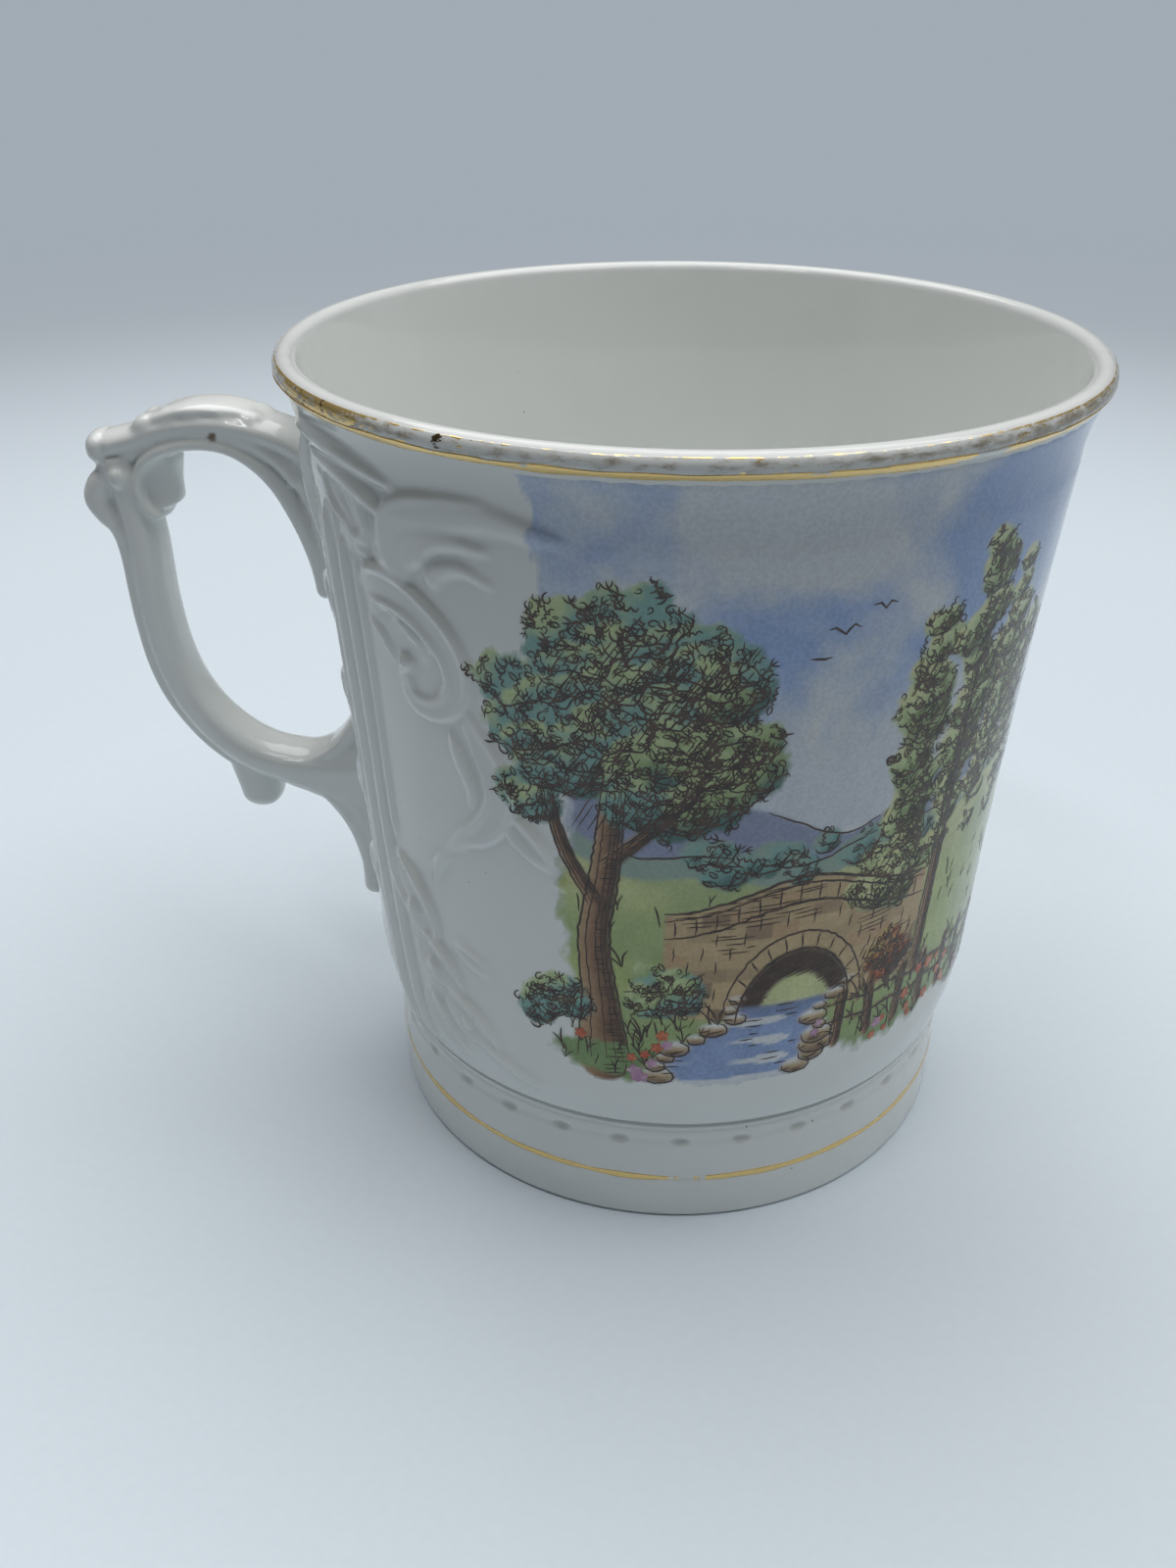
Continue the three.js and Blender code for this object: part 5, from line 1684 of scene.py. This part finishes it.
def canvas_mesh(name):
    """The covered part of the flat canvas, with its colours and fields on the points."""
    covered = picture.cover > THINNEST_WASH
    cells = covered[:-1, :-1] | covered[1:, :-1] | covered[:-1, 1:] | covered[1:, 1:]
    index = np.arange(U.size).reshape(U.shape)
    corners = [index[:-1, :-1], index[:-1, 1:], index[1:, 1:], index[1:, :-1]]
    quads = np.stack(corners, axis=-1)[cells]
    used, faces, shared = np.unique(quads, return_inverse=True, return_counts=True)
    points = np.stack([U, V, 0 * U], axis=-1).reshape(-1, 3)[used]
    mesh = make_mesh(name, points, faces.reshape(-1, 4).tolist())
    paint_layer = np.column_stack([picture.colour.reshape(-1, 3)[used], np.ones(len(used))])
    store(mesh, "paint", paint_layer, "FLOAT_COLOR")
    for field, values in picture.fields.items():
        store(mesh, field, values.reshape(-1)[used])
    return mesh, np.where(shared < 4, -2 * WASH_LIFT, 0.0)


canvas, rim_sink = canvas_mesh("canvas")
wash = link_object("print_wash", canvas.copy())
flat_points = read_points(wash.data)
flat_points[:, 2] += rim_sink
write_points(wash.data, wrap(flat_points, WASH_LIFT))
wash.data.materials.append(wash_finish)
seat_piece(wash, "transfer_print")

# %% Pen lines as ribbons
def pen_tree():
    graph = Graph("pen_line", Finish="Material")
    curve = graph.geometry("MeshToCurve", {"Mesh": graph.given["Geometry"]})
    press = graph.geometry("InputNamedAttribute", {"Name": "pen"})
    facing = graph.geometry("SetCurveNormal", {"Curve": curve})
    nib = {"Start": (-1.0, 0.0, 0.0), "End": (1.0, 0.0, 0.0)}
    nib = graph.geometry("CurvePrimitiveLine", nib)
    sweep = {"Curve": facing, "Profile Curve": nib, "Scale": press}
    graph.finish(graph.geometry("CurveToMesh", sweep))
    return graph


def wrap_piece(piece, lift):
    """Wraps a flat piece of the print round the cup and seats it."""
    write_points(piece.data, wrap(read_points(piece.data), lift))
    piece.data.shade_smooth()
    seat_piece(piece, "transfer_print")


pen_line = pen_tree()
lines = grow(link_object("print_lines", pen.mesh("print_lines")), pen_line, Finish=ink)
off_plane = float(np.abs(read_points(lines.data)[:, 2]).max())
print("ribbons lie flat within", round(off_plane, 4), "mm")
wrap_piece(lines, INK_LIFT)

# %% [markdown]
# Leaves and grass are too many to place one by one. A second tree scatters points over the
# flat canvas, more of them where a field is strong, and puts one of a few stroke shapes on
# each, turned and sized at random with a fixed seed.

# %% A tree that scatters strokes
def scatter_tree():
    graph = Graph("scatter_strokes", Strokes="Collection", Field="String", Density="Float",
                  Seed="Int", Size="Float", Lean="Float", Finish="Material")
    given = graph.given
    field = graph.geometry("InputNamedAttribute", {"Name": given["Field"]})
    amount = graph.math("MULTIPLY", field, given["Density"])
    spread = {"Mesh": given["Geometry"], "Density": amount, "Seed": given["Seed"]}
    points = graph.geometry("DistributePointsOnFaces", spread)
    shapes = {"Collection": given["Strokes"], "Separate Children": True, "Reset Children": True}
    strokes = graph.geometry("CollectionInfo", shapes)

    def chance(low, high, amount):
        links = {2: low, 3: high, "Seed": given["Seed"]}
        return graph.math("MULTIPLY", graph.node("FunctionNodeRandomValue", links)[1], amount)

    turn = graph.vector(Z=chance(-1.0, 1.0, given["Lean"]))
    size = chance(0.65, 1.35, given["Size"])
    which = {4: 0, 5: 100, "Seed": given["Seed"]}
    which = graph.node("FunctionNodeRandomValue", which, data_type="INT")[2]
    links = {"Points": points, "Instance": strokes, "Pick Instance": True,
             "Instance Index": which, "Rotation": turn, "Scale": size}
    graph.finish(graph.geometry("InstanceOnPoints", links))
    return graph


scatter_strokes = scatter_tree()
print("scatter_strokes inputs:", [item.name for item in scatter_strokes.tree.interface.items_tree])

# %% Small shapes to scatter
def stroke_shapes(name, shapes):
    """A collection of small inked shapes, each drawn from a few lines."""
    group = bpy.data.collections.new(name)
    for number, shape in enumerate(shapes):
        nib = Pen(number)
        for width, points in shape:
            nib.line(points, width, 0.0, 0.3)
        piece = link_object(f"{name}_{number}", nib.mesh(f"{name}_{number}"))
        grow(piece, pen_line, Finish=ink)
        group.objects.link(piece)
    return group


PETAL_POINTS = 20


def petals(name, finish):
    """A collection with one flower shape: a fan with five lobes."""
    turn = np.linspace(0, 2 * np.pi, PETAL_POINTS, endpoint=False)
    points = np.vstack([np.zeros((1, 3)), flat_ring(0.62 + 0.16 * np.cos(5 * turn), turn)])
    group = bpy.data.collections.new(name)
    flower = link_object(name, make_mesh(name, points, fan(PETAL_POINTS)))
    flower.data.materials.append(finish)
    group.objects.link(flower)
    return group


def scatter(name, strokes, finish, lift, **inputs):
    """Scatters strokes over a copy of the flat canvas and wraps them round the cup."""
    piece = link_object(name, canvas)
    grow(piece, scatter_strokes, Strokes=strokes, Finish=finish, **inputs)
    wrap_piece(piece, lift)


print("strokes are kept in collections while they are scattered")

# %% Scatter leaves, grass and flowers
LEAVES = [
    [(0.20, [[-1.0, 0], [-0.7, 0.42], [-0.42, 0.0], [-0.1, 0.46], [0.2, 0.02], [0.55, 0.4],
             [0.9, 0]])],
    [(0.20, [[0.7, 0.3], [0.2, 0.55], [-0.35, 0.35], [-0.4, -0.1], [0, -0.25], [0.3, 0]])],
    [(0.18, [[-0.6, -0.3], [0, 0], [0.7, 0.1]]), (0.16, [[-0.2, -0.1], [0.1, 0.4], [0.5, 0.6]]),
     (0.16, [[0, 0], [0.3, -0.35], [0.7, -0.45]])],
    [(0.16, [[-0.5, 0], [0, 0.28], [0.6, 0]]), (0.16, [[-0.5, 0], [0, -0.22], [0.6, 0]])],
]
BLADES = [
    [(0.24, [[0, -0.6], [0.1, 0.9], [0.5, 2.2]]), (0.2, [[0.2, -0.6], [-0.2, 0.8], [-0.7, 1.6]])],
    [(0.22, [[0, -0.6], [-0.1, 1.0], [-0.6, 2.5]]), (0.2, [[0.1, -0.4], [0.5, 0.7], [1.2, 1.3]]),
     (0.18, [[-0.1, -0.5], [-0.5, 0.4], [-1.0, 0.8]])],
    [(0.2, [[0, -0.5], [0.2, 1.0], [0.2, 1.9]])],
]
leaf_shapes = stroke_shapes("leaf_stroke", LEAVES)
blade_shapes = stroke_shapes("blade_stroke", BLADES)
poppy_shapes = petals("poppy", poppy_red)
mallow_shapes = petals("mallow", mallow_pink)
PER_SQUARE_MM = 1e6
scatter("print_leaves", leaf_shapes, ink, STROKE_LIFT, Field="leafage",
        Density=1.6 * PER_SQUARE_MM, Seed=7, Size=0.85, Lean=math.pi)
scatter("print_grass", blade_shapes, ink, STROKE_LIFT, Field="grass",
        Density=0.42 * PER_SQUARE_MM, Seed=8, Size=0.8, Lean=0.35)
scatter("print_poppies", poppy_shapes, poppy_red, PETAL_LIFT, Field="poppies",
        Density=0.16 * PER_SQUARE_MM, Seed=9, Size=1.0, Lean=math.pi)
scatter("print_mallows", mallow_shapes, mallow_pink, PETAL_LIFT, Field="mallows",
        Density=0.12 * PER_SQUARE_MM, Seed=10, Size=0.9, Lean=math.pi)
for group in (leaf_shapes, blade_shapes, poppy_shapes, mallow_shapes):
    for shape in list(group.objects):
        bpy.data.objects.remove(shape)
    bpy.data.collections.remove(group)
